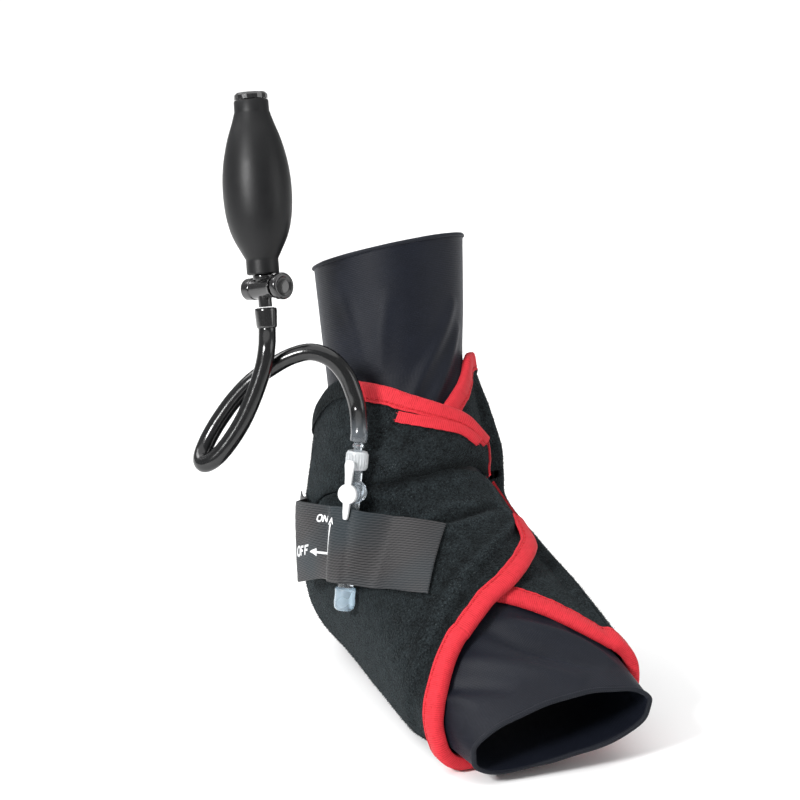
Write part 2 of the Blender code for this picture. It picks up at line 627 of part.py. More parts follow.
for piece in (fitting, collar, hose, tee, cuff, button, spring, outlet, bulb, intake, intake_disc):
    attach(piece, pump)
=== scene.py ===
"""A cold compression ankle wrap, closed over its knitted undersleeve, dressed for a render.

The soft goods follow one foot form. A place on the form is (u, v): u counts the stations
from the leg opening (0) round the heel to the toe opening (10), and v is the angle round
the section in degrees, 0 at the front, 90 inner side, 180 back and sole, 270 outer side.
Heights over the form are in millimetres; everything handed to the scene is in metres.
"""
from __future__ import annotations

import logging
import math
from dataclasses import dataclass
from enum import Enum
from typing import Callable, Sequence

import bmesh
import bpy
import numpy as np
from mathutils import Matrix, Vector

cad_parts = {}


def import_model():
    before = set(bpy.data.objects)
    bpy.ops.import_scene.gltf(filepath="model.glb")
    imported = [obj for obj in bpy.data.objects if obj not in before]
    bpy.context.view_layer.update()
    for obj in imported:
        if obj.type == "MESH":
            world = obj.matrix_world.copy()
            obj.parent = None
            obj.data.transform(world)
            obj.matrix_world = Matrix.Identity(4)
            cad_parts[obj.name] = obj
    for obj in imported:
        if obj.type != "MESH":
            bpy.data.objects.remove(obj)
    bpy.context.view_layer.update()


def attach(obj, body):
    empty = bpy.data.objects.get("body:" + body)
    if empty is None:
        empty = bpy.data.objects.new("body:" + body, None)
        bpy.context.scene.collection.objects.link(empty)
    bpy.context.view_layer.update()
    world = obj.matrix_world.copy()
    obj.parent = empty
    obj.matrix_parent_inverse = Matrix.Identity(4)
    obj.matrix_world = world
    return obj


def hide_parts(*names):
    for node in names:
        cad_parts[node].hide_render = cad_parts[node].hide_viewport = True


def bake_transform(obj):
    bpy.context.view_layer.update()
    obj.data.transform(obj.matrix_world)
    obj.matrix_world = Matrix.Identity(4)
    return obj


LOG = logging.getLogger("ankle_wrap")
MM = 0.001

Array = np.ndarray
Field = Callable[[Array, Array], Array]
Color = tuple[float, float, float]
Section = Sequence[tuple[float, int, float]]
Line = tuple[tuple[float, float], ...]
Inputs = dict[str | int, object]

# ---------------------------------------------------------------- the foot form


def ease(t: Array) -> Array:
    """Smooth step of t between 0 and 1."""
    t = np.clip(t, 0.0, 1.0)
    return t * t * (3 - 2 * t)


def blend_rows(rows: Array, x: Array) -> Array:
    """Read a Catmull-Rom curve through rows.

    Args:
        rows: one control point to a row.
        x: places from 0 to the number of rows less one.

    Returns:
        One blended row for each place.
    """
    ends = np.vstack((2 * rows[0] - rows[1], rows, 2 * rows[-1] - rows[-2]))
    x = np.clip(np.asarray(x, float), 0.0, len(rows) - 1 - 1e-9)
    i = x.astype(int)
    t = (x - i)[..., None]
    a, b, c, d = ends[i], ends[i + 1], ends[i + 2], ends[i + 3]
    return 0.5 * (2 * b + (c - a) * t + (2 * a - 5 * b + 4 * c - d) * t ** 2
                  + (3 * b - a - 3 * c + d) * t ** 3)


@dataclass(frozen=True)
class FootForm:
    """The foot and leg inside the wrap, and the floor that presses the padding under the sole.

    A station is y, z, tilt, front, back, half width, sweep, shift, squareness and roll.
    """

    stations: tuple[tuple[float, ...], ...] = (
        (92, 192, 24, 37, 40.0, 37, 0.00, 17, 2.0, 0.00),
        (80, 160, 22, 35, 38.0, 35, 0.00, 12, 2.0, 0.00),
        (69, 132, 22, 34, 36.0, 33, 0.00, 7, 2.0, 0.00),
        (57, 107, 27, 36, 41.0, 34, 0.00, 3, 2.0, 0.00),
        (48, 86, 37, 41, 57.0, 37, 0.00, 0, 2.1, 0.00),
        (40, 69, 51, 44, 78.0, 36, 0.00, -1, 2.4, 0.00),
        (26, 54, 68, 43, 59.0, 34, 0.00, -2, 2.6, 0.00),
        (-4, 40, 80, 37, 41.0, 37, 0.05, -3, 2.8, 0.05),
        (-38, 29, 88, 30, 31.5, 41, 0.12, -4, 2.8, 0.11),
        (-73, 19, 90, 21, 20.5, 44, 0.20, -6, 2.8, 0.15),
        (-107, 13, 90, 14, 14.5, 41, 0.26, -8, 2.8, 0.18),
    )
    sole_lift: float = 11.0
    ground: tuple[tuple[float, float], ...] = ((7, 13.0), (8, 11.0), (8.6, 10.2), (9.2, 9.2))
    press: float = 0.55

    def point(self, u: Array, v: Array, height: Array | float) -> Array:
        """Points over the form, in metres.

        Args:
            u: stations along the form.
            v: degrees round the section.
            height: millimetres outwards.

        Returns:
            An array whose last axis is x, y, z.
        """
        u, v, height = np.broadcast_arrays(np.asarray(u, float), np.asarray(v, float),
                                           np.asarray(height, float))
        y, z, tilt, front, back, half, sweep, shift, square, roll = np.moveaxis(
            blend_rows(np.array(self.stations, float), u), -1, 0)
        tilt = np.radians(tilt)
        c, s = np.cos(np.radians(v)), np.sin(np.radians(v))
        power = np.where(c > 0, 2.0, square)
        r = (np.abs(c) ** power + np.abs(s) ** power) ** (-1 / power)
        depth = c * r * (np.where(c > 0, front, back) + height)
        x = s * r * (half + height)
        floor = np.array(self.ground)
        pressed = self.press * (np.interp(u, floor[:, 0], floor[:, 1]) - height)
        up = np.maximum(z + depth * np.sin(tilt) + roll * x + self.sole_lift, np.maximum(pressed, 0.0))
        return np.stack((shift + x, y - depth * np.cos(tilt) - sweep * x, up), axis=-1) * MM

    def normal(self, u: Array, v: Array) -> Array:
        """Unit direction outwards at a place."""
        out = self.point(u, v, 12) - self.point(u, v, 4)
        return out / np.linalg.norm(out, axis=-1, keepdims=True)

    def slide(self, u: Array, v: Array, way: Array, distance: Array | float) -> tuple[Array, Array]:
        """Go a distance in a direction along the surface.

        Args:
            u: stations to start from.
            v: angles to start from.
            way: unit directions in space.
            distance: millimetres to go.

        Returns:
            The (u, v) reached.
        """
        e = 0.01
        du = (self.point(u + e, v, 8) - self.point(u - e, v, 8)) / (2 * e * MM)
        dv = (self.point(u, v + e * 40, 8) - self.point(u, v - e * 40, 8)) / (80 * e * MM)
        a, b, c = (du * du).sum(-1), (du * dv).sum(-1), (dv * dv).sum(-1)
        p, q = (way * du).sum(-1), (way * dv).sum(-1)
        det = a * c - b * b
        return u + distance * (p * c - q * b) / det, v + distance * (q * a - p * b) / det


FORM = FootForm()


@dataclass(frozen=True)
class FormLine:
    """A smooth line over the form through (u, v) points."""

    points: Line

    def at(self, t: Array) -> tuple[Array, Array]:
        """The (u, v) at t from 0 to 1."""
        rows = blend_rows(np.array(self.points, float), np.asarray(t, float) * (len(self.points) - 1))
        return rows[..., 0], rows[..., 1]

    def distance(self, points: Array, height: float = 8.0) -> tuple[Array, Array]:
        """How far points lie from the line.

        Args:
            points: places in metres.
            height: the line's own height over the form.

        Returns:
            The distance in millimetres and the share of the line's length at the nearest place.
        """
        u, v = self.at(np.linspace(0, 1, 72))
        line = FORM.point(u, v, height)
        best = np.full(len(points), 1e9)
        share = np.zeros(len(points))
        for k, (a, b) in enumerate(zip(line, line[1:])):
            step = b - a
            t = np.clip((points - a) @ step / max(step @ step, 1e-12), 0, 1)
            gap = np.linalg.norm(points - a - t[:, None] * step, axis=1)
            near = gap < best
            best[near] = gap[near]
            share[near] = (k + t[near]) / (len(line) - 1)
        return best / MM, share


@dataclass(frozen=True)
class Fold:
    """A raised or sunk crease: its line, height in millimetres, half width and how it fades at the ends."""

    line: FormLine
    height: float
    width: float
    fade: float = 0.6

    def relief(self, points: Array, level: float = 2.0) -> Array:
        """Height to add at points given in metres."""
        gap, share = self.line.distance(points, level)
        ends = np.sin(np.pi * np.clip(share, 0, 1)) ** self.fade
        return self.height * np.exp(-(gap / self.width) ** 2) * ends


WRAP_TOP = np.array(((1.6, 5.6), (2.05, 6.9), (2.5, 9.6), (2.8, 11.3), (3.2, 12.4), (4, 13), (7, 13),
                     (8, 11), (8.6, 9), (9.2, 7.0), (9.6, 6.8)))
FRONT_TOP = 11.5
FAR_TOP = 5.4
FLEECE_DEEP = 3.6
FLEECE_UNDER = 3.1


def near_face(u: Array, v: Array) -> Array:
    """Outer face of the heel shell and the wings that close on top."""
    h = np.interp(u, WRAP_TOP[:, 0], WRAP_TOP[:, 1])
    return h + (FRONT_TOP - h) * ease((v - 298) / 56)


def near_back(u: Array, v: Array) -> Array:
    """Inner face of the same fleece."""
    h = near_face(u, v)
    return h - np.minimum(FLEECE_DEEP - ease((v - 298) / 56), h - FLEECE_UNDER)


def far_face(u: Array, v: Array) -> Array:
    """Outer face of the two wings that pass underneath."""
    h = np.interp(u, WRAP_TOP[:, 0], WRAP_TOP[:, 1])
    return FAR_TOP + (h - FAR_TOP) * ease((v - 51.5) / 8)


def far_back(u: Array, v: Array) -> Array:
    """Inner face of the wings that pass underneath."""
    return np.maximum(far_face(u, v) - FLEECE_DEEP, FLEECE_UNDER)


RIDGE = FormLine(((6.78, 388), (6.93, 394.5), (7.02, 396), (7.25, 388), (7.57, 372), (7.78, 358), (7.95, 344),
                  (8.11, 332), (8.26, 319), (8.41, 308), (8.52, 296), (8.56, 277), (8.52, 262), (8.5, 235),
                  (8.5, 205)))
CREASE = FormLine(((6.94, 334), (6.96, 346), (6.99, 355), (6.97, 366), (6.92, 376), (6.80, 388)))
SEAM = FormLine(((4.03, 276), (4.34, 297), (4.8, 314), (5.39, 329), (5.84, 344), (5.9, 362), (5.77, 382),
                 (5.9, 400)))
CORNER = FormLine(((5.77, 382), (6.08, 389), (6.38, 395), (6.62, 392), (6.76, 389)))


def sculpted(u: Array, v: Array) -> Array:
    """The near fleece with its pad edge, its creases and the flat band beside the binding.

    Args:
        u: Stations along the foot.
        v: Angles round it, in degrees.

    Returns:
        Heights over the form, in metres.
    """
    face = near_face(u, v) - 0.45
    places = FORM.point(u, v, face)
    shape = u.shape
    flat = places.reshape(-1, 3)
    ridge, _ = RIDGE.distance(flat, 11)
    crease, share = CREASE.distance(flat, 11)
    corner, _ = CORNER.distance(flat, 11)
    angles = np.array([p[1] for p in RIDGE.points[2:]])[::-1]
    stations = np.array([p[0] for p in RIDGE.points[2:]])[::-1]
    toward_toes = u > np.interp(v, angles, stations)
    band = np.where(toward_toes.ravel(), ease(ridge / 3.2), 0.0)
    ends = np.sin(np.pi * np.clip(share * 0.9 + 0.08, 0, 1)) ** 0.5
    relief = (-2.3 * band + 0.9 * np.exp(-(ridge / 1.7) ** 2) - 2.3 * ends * np.exp(-(crease / 2.4) ** 2)
              + 0.8 * ends * np.exp(-((crease - 5.0) / 3.0) ** 2) + 0.8 * np.exp(-(corner / 1.8) ** 2))
    return face + relief.reshape(shape)


def painted_ridge_and_crease_shading(u: Array, v: Array) -> Array:
    """Painted highlight on the raised edges (towards 1) and painted shade down the creases (towards 0), as a
    factor for the fleece's colour.
    """
    flat = FORM.point(u, v, near_face(u, v)).reshape(-1, 3)
    ridge, crease, corner, seam = (line.distance(flat, 11)[0] for line in (RIDGE, CREASE, CORNER, SEAM))
    # crest is painted highlight on the ridges, valley is painted shade in the creases and the seam
    crest = (np.exp(-(ridge / 1.9) ** 2) + 0.8 * np.exp(-(corner / 1.9) ** 2)
             + 0.5 * np.exp(-((crease - 5.0) / 2.6) ** 2) + 0.4 * np.exp(-((seam - 6.5) / 2.8) ** 2))
    valley = (np.exp(-(crease / 2.4) ** 2) + np.exp(-(seam / 3.2) ** 2)
              + 0.5 * np.exp(-((ridge - 4.6) / 2.4) ** 2))
    return np.clip(0.4 + 0.6 * crest - 0.45 * valley, 0, 1).reshape(u.shape)


# ---------------------------------------------------------------- finishes


class Desk:
    """A material's node tree with short ways to add its nodes."""

    def __init__(self, name: str) -> None:
        """Start a material with its Principled shader."""
        self.material = bpy.data.materials.new(name)
        self.material.use_nodes = True
        self.tree = self.material.node_tree
        self.shader = self.tree.nodes["Principled BSDF"]

    def add(self, kind: str, inputs: Inputs | None = None, **settings: object) -> bpy.types.Node:
        """Add a node.

        Args:
            kind: the node's type name.
            inputs: values or sockets for its inputs.
            settings: properties of the node.

        Returns:
            The new node.
        """
        node = self.tree.nodes.new(kind)
        for key, value in settings.items():
            setattr(node, key, value)
        for key, value in (inputs or {}).items():
            if isinstance(value, bpy.types.NodeSocket):
                self.tree.links.new(value, node.inputs[key])
            else:
                node.inputs[key].default_value = value
        return node

    def place(self, kind: str = "Object") -> bpy.types.NodeSocket:
        """Texture coordinates: Object or UV."""
        return self.add("ShaderNodeTexCoord").outputs[kind]

    def noise(self, scale: float, detail: float = 2.0, where: bpy.types.NodeSocket | None = None,
              rough: float = 0.5) -> bpy.types.NodeSocket:
        """Noise of a scale in cycles to the metre."""
        return self.add("ShaderNodeTexNoise", {"Vector": where or self.place(), "Scale": scale,
                                               "Detail": detail, "Roughness": rough}).outputs["Fac"]

    def ramp(self, value: bpy.types.NodeSocket, stops: Sequence[tuple[float, Color]]) -> bpy.types.NodeSocket:
        """A colour ramp over a value."""
        node = self.add("ShaderNodeValToRGB", {"Fac": value})
        band = node.color_ramp.elements
        while len(band) < len(stops):
            band.new(0.5)
        for element, (at, color) in zip(band, stops):
            element.position = at
            element.color = (*color, 1.0)
        return node.outputs["Color"]

    def math(self, how: str, a: object, b: object = 0.0, clamp: bool = False) -> bpy.types.NodeSocket:
        """A Math node."""
        return self.add("ShaderNodeMath", {0: a, 1: b}, operation=how, use_clamp=clamp).outputs[0]

    def mix(self, share: object, a: object, b: object) -> bpy.types.NodeSocket:
        """Mix two colours."""
        node = self.add("ShaderNodeMix", data_type="RGBA")
        for key, value in ((0, share), (6, a), (7, b)):
            if isinstance(value, bpy.types.NodeSocket):
                self.tree.links.new(value, node.inputs[key])
            else:
                node.inputs[key].default_value = (*value, 1.0) if isinstance(value, tuple) else value
        return node.outputs[2]

    def bump(self, height: bpy.types.NodeSocket, distance: float, strength: float = 1.0,
             under: bpy.types.NodeSocket | None = None) -> bpy.types.NodeSocket:
        """A Bump node, over another if given."""
        inputs: Inputs = {"Height": height, "Distance": distance, "Strength": strength}
        if under:
            inputs["Normal"] = under
        return self.add("ShaderNodeBump", inputs).outputs["Normal"]

    def dress(self, **sockets: object) -> bpy.types.Material:
        """Set or link the shader's inputs, named with underscores for spaces, and hand the material back."""
        for name, value in sockets.items():
            key = name.replace("_", " ").title().replace("Ior", "IOR")
            socket = self.shader.inputs[key]
            if isinstance(value, bpy.types.NodeSocket):
                self.tree.links.new(value, socket)
            elif isinstance(value, tuple) and len(value) == 3 and socket.type == "RGBA":
                socket.default_value = (*value, 1.0)
            else:
                socket.default_value = value
        return self.material


@dataclass(frozen=True)
class Fleece:
    """Brushed nylon fleece over foam: dark, fuzzy, with pale specks of lint, with painted highlight on its ridges
    and painted shade in its creases from a vertex attribute.
    """

    name: str = "brushed_fleece"
    dark: Color = (0.0030, 0.0040, 0.0046)
    light: Color = (0.0280, 0.0370, 0.0410)
    lint: Color = (0.110, 0.130, 0.135)

    def build(self) -> bpy.types.Material:
        """Make the material."""
        desk = Desk(self.name)
        where = desk.place()
        nap = desk.noise(1050, 3, where, 0.7)
        drift = desk.noise(190, 2, where)
        shade = desk.math("ADD", desk.math("MULTIPLY", nap, 0.75), desk.math("MULTIPLY", drift, 0.25))
        base = desk.ramp(shade, ((0.40, self.dark), (0.62, self.light)))
        specks = desk.ramp(desk.noise(1500, 1, where), ((0.66, (0, 0, 0)), (0.76, (1, 1, 1))))
        speckled = desk.mix(desk.math("MULTIPLY", specks, 0.55), base, self.lint)
        # Painted highlight on the ridges and painted shade in the creases, read from a vertex attribute and
        # multiplied into the colour
        painted_shading = desk.add("ShaderNodeAttribute", attribute_name="painted_ridge_and_crease_shading").outputs["Fac"]
        lit = desk.ramp(painted_shading, ((0.0, (0.25, 0.25, 0.25)), (0.4, (0.62, 0.62, 0.62)), (1.0, (1, 1, 1))))
        color = desk.add("ShaderNodeMix", {0: 1.0, 6: speckled, 7: lit}, data_type="RGBA",
                         blend_type="MULTIPLY").outputs[2]
        loops = desk.bump(desk.noise(850, 3, where, 0.7), 0.0016, 0.9)
        desk.shader.inputs["Specular IOR Level"].default_value = 0.12
        return desk.dress(base_color=color, roughness=0.93, normal=desk.bump(drift, 0.0012, 0.35, loops),
                          sheen_weight=0.10, sheen_roughness=0.4, sheen_tint=(0.42, 0.52, 0.56))


@dataclass(frozen=True)
class Knit:
    """Fine stretch knit of the undersleeve, smooth with a low sheen."""

    name: str = "stretch_knit"
    dark: Color = (0.0030, 0.0040, 0.0078)
    light: Color = (0.0066, 0.0085, 0.0150)
    rough: float = 0.50
    courses: float = 9000.0

    def build(self) -> bpy.types.Material:
        """Make the material."""
        desk = Desk(self.name)
        where = desk.place("UV")
        wave = desk.add("ShaderNodeTexWave", {"Vector": where, "Scale": self.courses / 20, "Distortion": 0.4,
                                              "Detail": 1.0}, wave_type="BANDS", bands_direction="X")
        cross = desk.add("ShaderNodeTexWave", {"Vector": where, "Scale": self.courses / 26, "Distortion": 0.6,
                                               "Detail": 1.0}, wave_type="BANDS", bands_direction="Y")
        loops = desk.math("MULTIPLY", wave.outputs["Fac"], cross.outputs["Fac"])
        drift = desk.math("MULTIPLY", desk.noise(60, 3), 0.5)
        tone = desk.math("ADD", desk.math("MULTIPLY", loops, 0.5), drift)
        desk.shader.inputs["Specular IOR Level"].default_value = 0.17
        return desk.dress(base_color=desk.ramp(tone, ((0.2, self.dark), (0.75, self.light))),
                          roughness=self.rough, normal=desk.bump(loops, 0.00012, 0.6),
                          sheen_weight=0.06, sheen_roughness=0.4,
                          sheen_tint=(0.45, 0.50, 0.65))


@dataclass(frozen=True)
class Tape:
    """Woven binding tape with ribs across it."""

    name: str = "red_binding_tape"
    deep: Color = (0.36, 0.008, 0.013)
    bright: Color = (0.53, 0.019, 0.031)
    ribs: float = 330.0

    def build(self) -> bpy.types.Material:
        """Make the material."""
        desk = Desk(self.name)
        wave = desk.add("ShaderNodeTexWave", {"Vector": desk.place("UV"), "Scale": self.ribs, "Distortion": 0.8,
                                              "Detail": 1.0, "Detail Scale": 2.0},
                        wave_type="BANDS", bands_direction="X")
        weave = wave.outputs["Fac"]
        drift = desk.math("MULTIPLY", desk.noise(420, 3), 0.6)
        tone = desk.math("ADD", desk.math("MULTIPLY", weave, 0.4), drift)
        desk.shader.inputs["Specular IOR Level"].default_value = 0.25
        return desk.dress(base_color=desk.ramp(tone, ((0.22, self.deep), (0.52, self.bright))), roughness=0.72,
                          normal=desk.bump(weave, 0.00016, 0.6), sheen_weight=0.08, sheen_roughness=0.5,
                          sheen_tint=(1.0, 0.45, 0.45))


@dataclass(frozen=True)
class Webbing:
    """Ribbed strap webbing, its ribs across the strap and a herringbone shimmer."""

    name: str = "ribbed_webbing"
    dark: Color = (0.010, 0.010, 0.011)
    light: Color = (0.042, 0.040, 0.041)
    teal: Color = (0.014, 0.026, 0.033)

    def build(self) -> bpy.types.Material:
        """Make the material."""
        desk = Desk(self.name)
        where = desk.place("UV")
        ribs = desk.add("ShaderNodeTexWave", {"Vector": where, "Scale": 265.0, "Distortion": 0.25,
                                              "Detail": 1.0},
                        wave_type="BANDS", bands_direction="Y").outputs["Fac"]
        threads = desk.add("ShaderNodeTexWave", {"Vector": where, "Scale": 230.0, "Distortion": 0.6},
                           wave_type="BANDS", bands_direction="DIAGONAL").outputs["Fac"]
        weave = desk.math("ADD", desk.math("MULTIPLY", ribs, 0.7), desk.math("MULTIPLY", threads, 0.3))
        drift = desk.ramp(desk.noise(26, 1, where), ((0.42, (0, 0, 0)), (0.62, (1, 1, 1))))
        woven = desk.ramp(weave, ((0.15, self.dark), (0.85, self.light)))
        color = desk.mix(desk.math("MULTIPLY", drift, 0.55), woven, self.teal)
        desk.shader.inputs["Specular IOR Level"].default_value = 0.22
        return desk.dress(base_color=color, roughness=0.55, normal=desk.bump(weave, 0.00022, 0.7),
                          sheen_weight=0.05, sheen_roughness=0.4)


@dataclass(frozen=True)
class Plastic:
    """Moulded plastic or rubber: colour, gloss, fine grain and how clear it is."""

    name: str
    color: Color
    rough: float
    grain: float = 900.0
    depth: float = 0.00004
    clear: float = 0.0
    coat: float = 0.0
    metal: float = 0.0
    murk: float = 0.06
    shine: float = 0.5

    def build(self) -> bpy.types.Material:
        """Make the material."""
        desk = Desk(self.name)
        where = desk.place()
        cloud = desk.noise(self.grain * 0.12, 2, where)
        desk.shader.inputs["Specular IOR Level"].default_value = self.shine
        shade = tuple(c * (1 - 2 * self.murk) for c in self.color)
        desk.shader.inputs["Transmission Weight"].default_value = self.clear
        desk.shader.inputs["Coat Weight"].default_value = self.coat
        desk.shader.inputs["Metallic"].default_value = self.metal
        rough = desk.math("ADD", desk.math("MULTIPLY", cloud, 0.16), self.rough - 0.08)
        return desk.dress(base_color=desk.ramp(cloud, ((0.3, shade), (0.7, self.color))), roughness=rough,
                          normal=desk.bump(desk.noise(self.grain, 2, where), self.depth, 0.5), ior=1.46)


@dataclass(frozen=True)
class Tubing:
    """Vinyl hose: glossy black, going smoky and see-through over the barb at its lower end."""

    name: str = "hose_vinyl"
    smoke: Color = (0.16, 0.18, 0.20)
    black: Color = (0.0045, 0.0048, 0.0052)
    low: float = 0.1317
    high: float = 0.1467

    def build(self) -> bpy.types.Material:
        """Make the material."""
        desk = Desk(self.name)
        height = desk.add("ShaderNodeSeparateXYZ", {0: desk.place()})
        rise = desk.add("ShaderNodeMapRange", {"Value": height.outputs["Z"], "From Min": self.low,
                                               "From Max": self.high}, interpolation_type="SMOOTHSTEP")
        inner = desk.add("ShaderNodeMapRange", {"Value": height.outputs["X"], "From Min": -0.052,
                                                "From Max": -0.047})
        front = desk.math("MULTIPLY", desk.math("SUBTRACT", 1.0, rise.outputs[0]), inner.outputs[0])
        smears = desk.noise(240, 3)
        rough = desk.math("ADD", desk.math("MULTIPLY", smears, 0.14), 0.10)
        return desk.dress(base_color=desk.mix(front, self.black, self.smoke), roughness=rough,
                          transmission_weight=desk.math("MULTIPLY", front, 0.65),
                          normal=desk.bump(smears, 0.0002, 0.25), ior=1.5)


class Look(Enum):
    """Every finish on the wrap."""

    FLEECE = Fleece()
    SLEEVE = Knit()
    HEM = Knit("rolled_hem", (0.0065, 0.0075, 0.011), (0.014, 0.016, 0.022), 0.66, 6500.0)
    LINING = Knit("wicking_lining", (0.018, 0.019, 0.022), (0.040, 0.042, 0.048), 0.85, 5200.0)
    TAPE = Tape()
    THREAD = Tape("red_thread", (0.36, 0.006, 0.010), (0.60, 0.014, 0.022), 900.0)
    WEBBING = Webbing()
    HOOK = Plastic("hook_tape", (0.0045, 0.0045, 0.0050), 0.42, 2600.0, 0.0002, shine=0.3)
    PRINT = Plastic("white_print", (0.70, 0.71, 0.72), 0.62, 1800.0, 0.00005)
    LEVER = Plastic("white_lever", (0.66, 0.67, 0.68), 0.30, 700.0, 0.00002)
    CLEAR = Plastic("clear_fitting", (0.84, 0.90, 0.95), 0.16, 500.0, 0.00003, clear=0.90)
    FROST = Plastic("frosted_tube_end", (0.60, 0.76, 0.88), 0.28, 350.0, 0.00010, clear=0.66, murk=0.10)
    COLLAR = Plastic("frosted_collar", (0.90, 0.93, 0.95), 0.24, 600.0, 0.00008, clear=0.55)
    VALVE = Plastic("gloss_black_valve", (0.0060, 0.0060, 0.0065), 0.17, 400.0, 0.00004, coat=0.5)
    BULB = Plastic("bulb_rubber", (0.0050, 0.0052, 0.0058), 0.44, 1400.0, 0.00006, shine=0.3)
    SEAL = Plastic("seal_rubber", (0.20, 0.024, 0.018), 0.60)
    STEEL = Plastic("spring_wire", (0.58, 0.58, 0.60), 0.28, metal=1.0)
    GEL = Plastic("gel_film", (0.06, 0.18, 0.42), 0.32, 260.0, 0.0004, murk=0.2)
    BLADDER = Plastic("bladder_film", (0.22, 0.24, 0.26), 0.40, 200.0, 0.0005)
    NAP = Fleece("fleece_nap", (0.010, 0.013, 0.0145), (0.050, 0.064, 0.070), (0.24, 0.27, 0.28))
    HOSE = Tubing()


MADE: dict[str, bpy.types.Material] = {}


def finish_of(look: Look) -> bpy.types.Material:
    """The material of a look, made once."""
    if look.name not in MADE:
        MADE[look.name] = look.value.build()
    return MADE[look.name]


# ---------------------------------------------------------------- meshes


def new_piece(name: str, mesh: bpy.types.Mesh, look: Look) -> bpy.types.Object:
    """Put a finished mesh in the scene under a name, with a look."""
    obj = bpy.data.objects.new(name, mesh)
    bpy.context.scene.collection.objects.link(obj)
    mesh.materials.clear()
    mesh.materials.append(finish_of(look))
    return obj


def to_mesh(name: str, bm: bmesh.types.BMesh, sharp: float = 180.0) -> bpy.types.Mesh:
    """Turn a closed bmesh into a smooth mesh that faces outwards.

    Args:
        name: Name of the mesh.
        bm: The shells, freed here.
        sharp: Angle in degrees above which an edge stays crisp.

    Returns:
        The mesh.
    """
    bmesh.ops.recalc_face_normals(bm, faces=bm.faces)
    if bm.calc_volume(signed=True) < 0:
        bmesh.ops.reverse_faces(bm, faces=bm.faces)
    for face in bm.faces:
        face.smooth = True
    mesh = bpy.data.meshes.new(name)
    bm.to_mesh(mesh)
    bm.free()
    if sharp < 180:
        mesh.set_sharp_from_angle(angle=math.radians(sharp))
    return mesh


def read_points(mesh: bpy.types.Mesh) -> Array:
    """The mesh's points as rows."""
    co = np.empty(len(mesh.vertices) * 3)
    mesh.vertices.foreach_get("co", co)
    return co.reshape(-1, 3)


def write_points(mesh: bpy.types.Mesh, co: Array) -> None:
    """Move the mesh's points."""
    mesh.vertices.foreach_set("co", np.ascontiguousarray(co, np.float32).ravel())
    mesh.update()


def refined(length: float, step: float, rim: float) -> Array:
    """Places from 0 to 1 that crowd towards both ends, so that an edge can be rounded.

    Args:
        length: the run in millimetres.
        step: the plain spacing.
        rim: how far in from each end the edge is rounded.

    Returns:
        The places, in order.
    """
    edge = np.array((0, 0.10, 0.30, 0.60, 1.0)) * rim
    middle = np.linspace(rim, length - rim, max(int((length - 2 * rim) / step), 2) + 1)[1:-1]
    return np.concatenate((edge, middle, length - edge[::-1])) / length


@dataclass
class Quilt:
    """A closed pad over the form, ruled between two edge lines."""

    name: str
    top: FormLine
    foot: FormLine
    over: Field
    under: Field
    step: float = 1.8
    rim: float = 2.6
    look: Look = Look.FLEECE

    def places(self) -> tuple[Array, Array, Array, Array]:
        """The grid: shares along and down, then u and v at each crossing."""
        t = np.linspace(0, 1, 60)
        middle = [FORM.point(*line.at(t), 10) for line in (self.top, self.foot)]
        along = max(np.linalg.norm(np.diff(m, axis=0), axis=1).sum() for m in middle) / MM
        down = np.median(np.linalg.norm(middle[0] - middle[1], axis=1)) / MM * 1.15
        s, w = refined(along, self.step, self.rim), refined(down, self.step, self.rim)
        top_u, top_v = self.top.at(s)
        foot_u, foot_v = self.foot.at(s)
        u = top_u[:, None] + (foot_u - top_u)[:, None] * w
        v = top_v[:, None] + (foot_v - top_v)[:, None] * w
        return s, w, u, v

    def build(self) -> tuple[bpy.types.Object, Array, Array]:
        """Make the pad.

        Returns:
            The object, a mask of its outer points and each point's distance in from the rim, in millimetres.
        """
        s, w, u, v = self.places()
        surface = FORM.point(u, v, 9)
        run_s = np.concatenate((np.zeros((1, len(w))), np.cumsum(
            np.linalg.norm(np.diff(surface, axis=0), axis=2), axis=0))) / MM
        run_w = np.concatenate((np.zeros((len(s), 1)), np.cumsum(
            np.linalg.norm(np.diff(surface, axis=1), axis=2), axis=1)), axis=1) / MM
        inside = np.minimum(np.minimum(run_s, run_s[-1] - run_s), np.minimum(run_w, run_w[:, -1:] - run_w))
        swell = np.sqrt(1 - (1 - np.clip(inside / self.rim, 0, 1)) ** 2) * 0.88 + 0.12
        high, low = self.over(u, v), self.under(u, v)
        middle = low + (high - low) * 0.42
        # Painted highlight and painted shade for the fleece colour, kept on the points as a vertex attribute
        painted_shading = painted_ridge_and_crease_shading(u, v)
        outer = FORM.point(u, v, middle + (high - middle) * swell)
        inner = FORM.point(u, v, middle - (middle - low) * swell)
        bm = bmesh.new()
        tone = bm.verts.layers.float.new("painted_ridge_and_crease_shading")
        bmesh.ops.create_grid(bm, x_segments=len(s) - 1, y_segments=len(w) - 1, size=0.5)
        grown = bmesh.ops.extrude_face_region(bm, geom=list(bm.faces))
        lifted = {e for e in grown["geom"] if isinstance(e, bmesh.types.BMVert)}
        mapping = bm.loops.layers.uv.new("cloth")
        is_outer = np.zeros(len(bm.verts), bool)
        depth = np.zeros(len(bm.verts))
        bm.verts.index_update()
        for vert in bm.verts:
            i, j = round((vert.co.x + 0.5) * (len(s) - 1)), round((vert.co.y + 0.5) * (len(w) - 1))
            is_outer[vert.index] = vert in lifted
            vert[tone] = painted_shading[i, j]
            depth[vert.index] = inside[i, j]
            for loop in vert.link_loops:
                loop[mapping].uv = (run_s[i, j] * MM, run_w[i, j] * MM)
            vert.co = outer[i, j] if vert in lifted else inner[i, j]
        return new_piece(self.name, to_mesh(self.name, bm), self.look), is_outer, depth


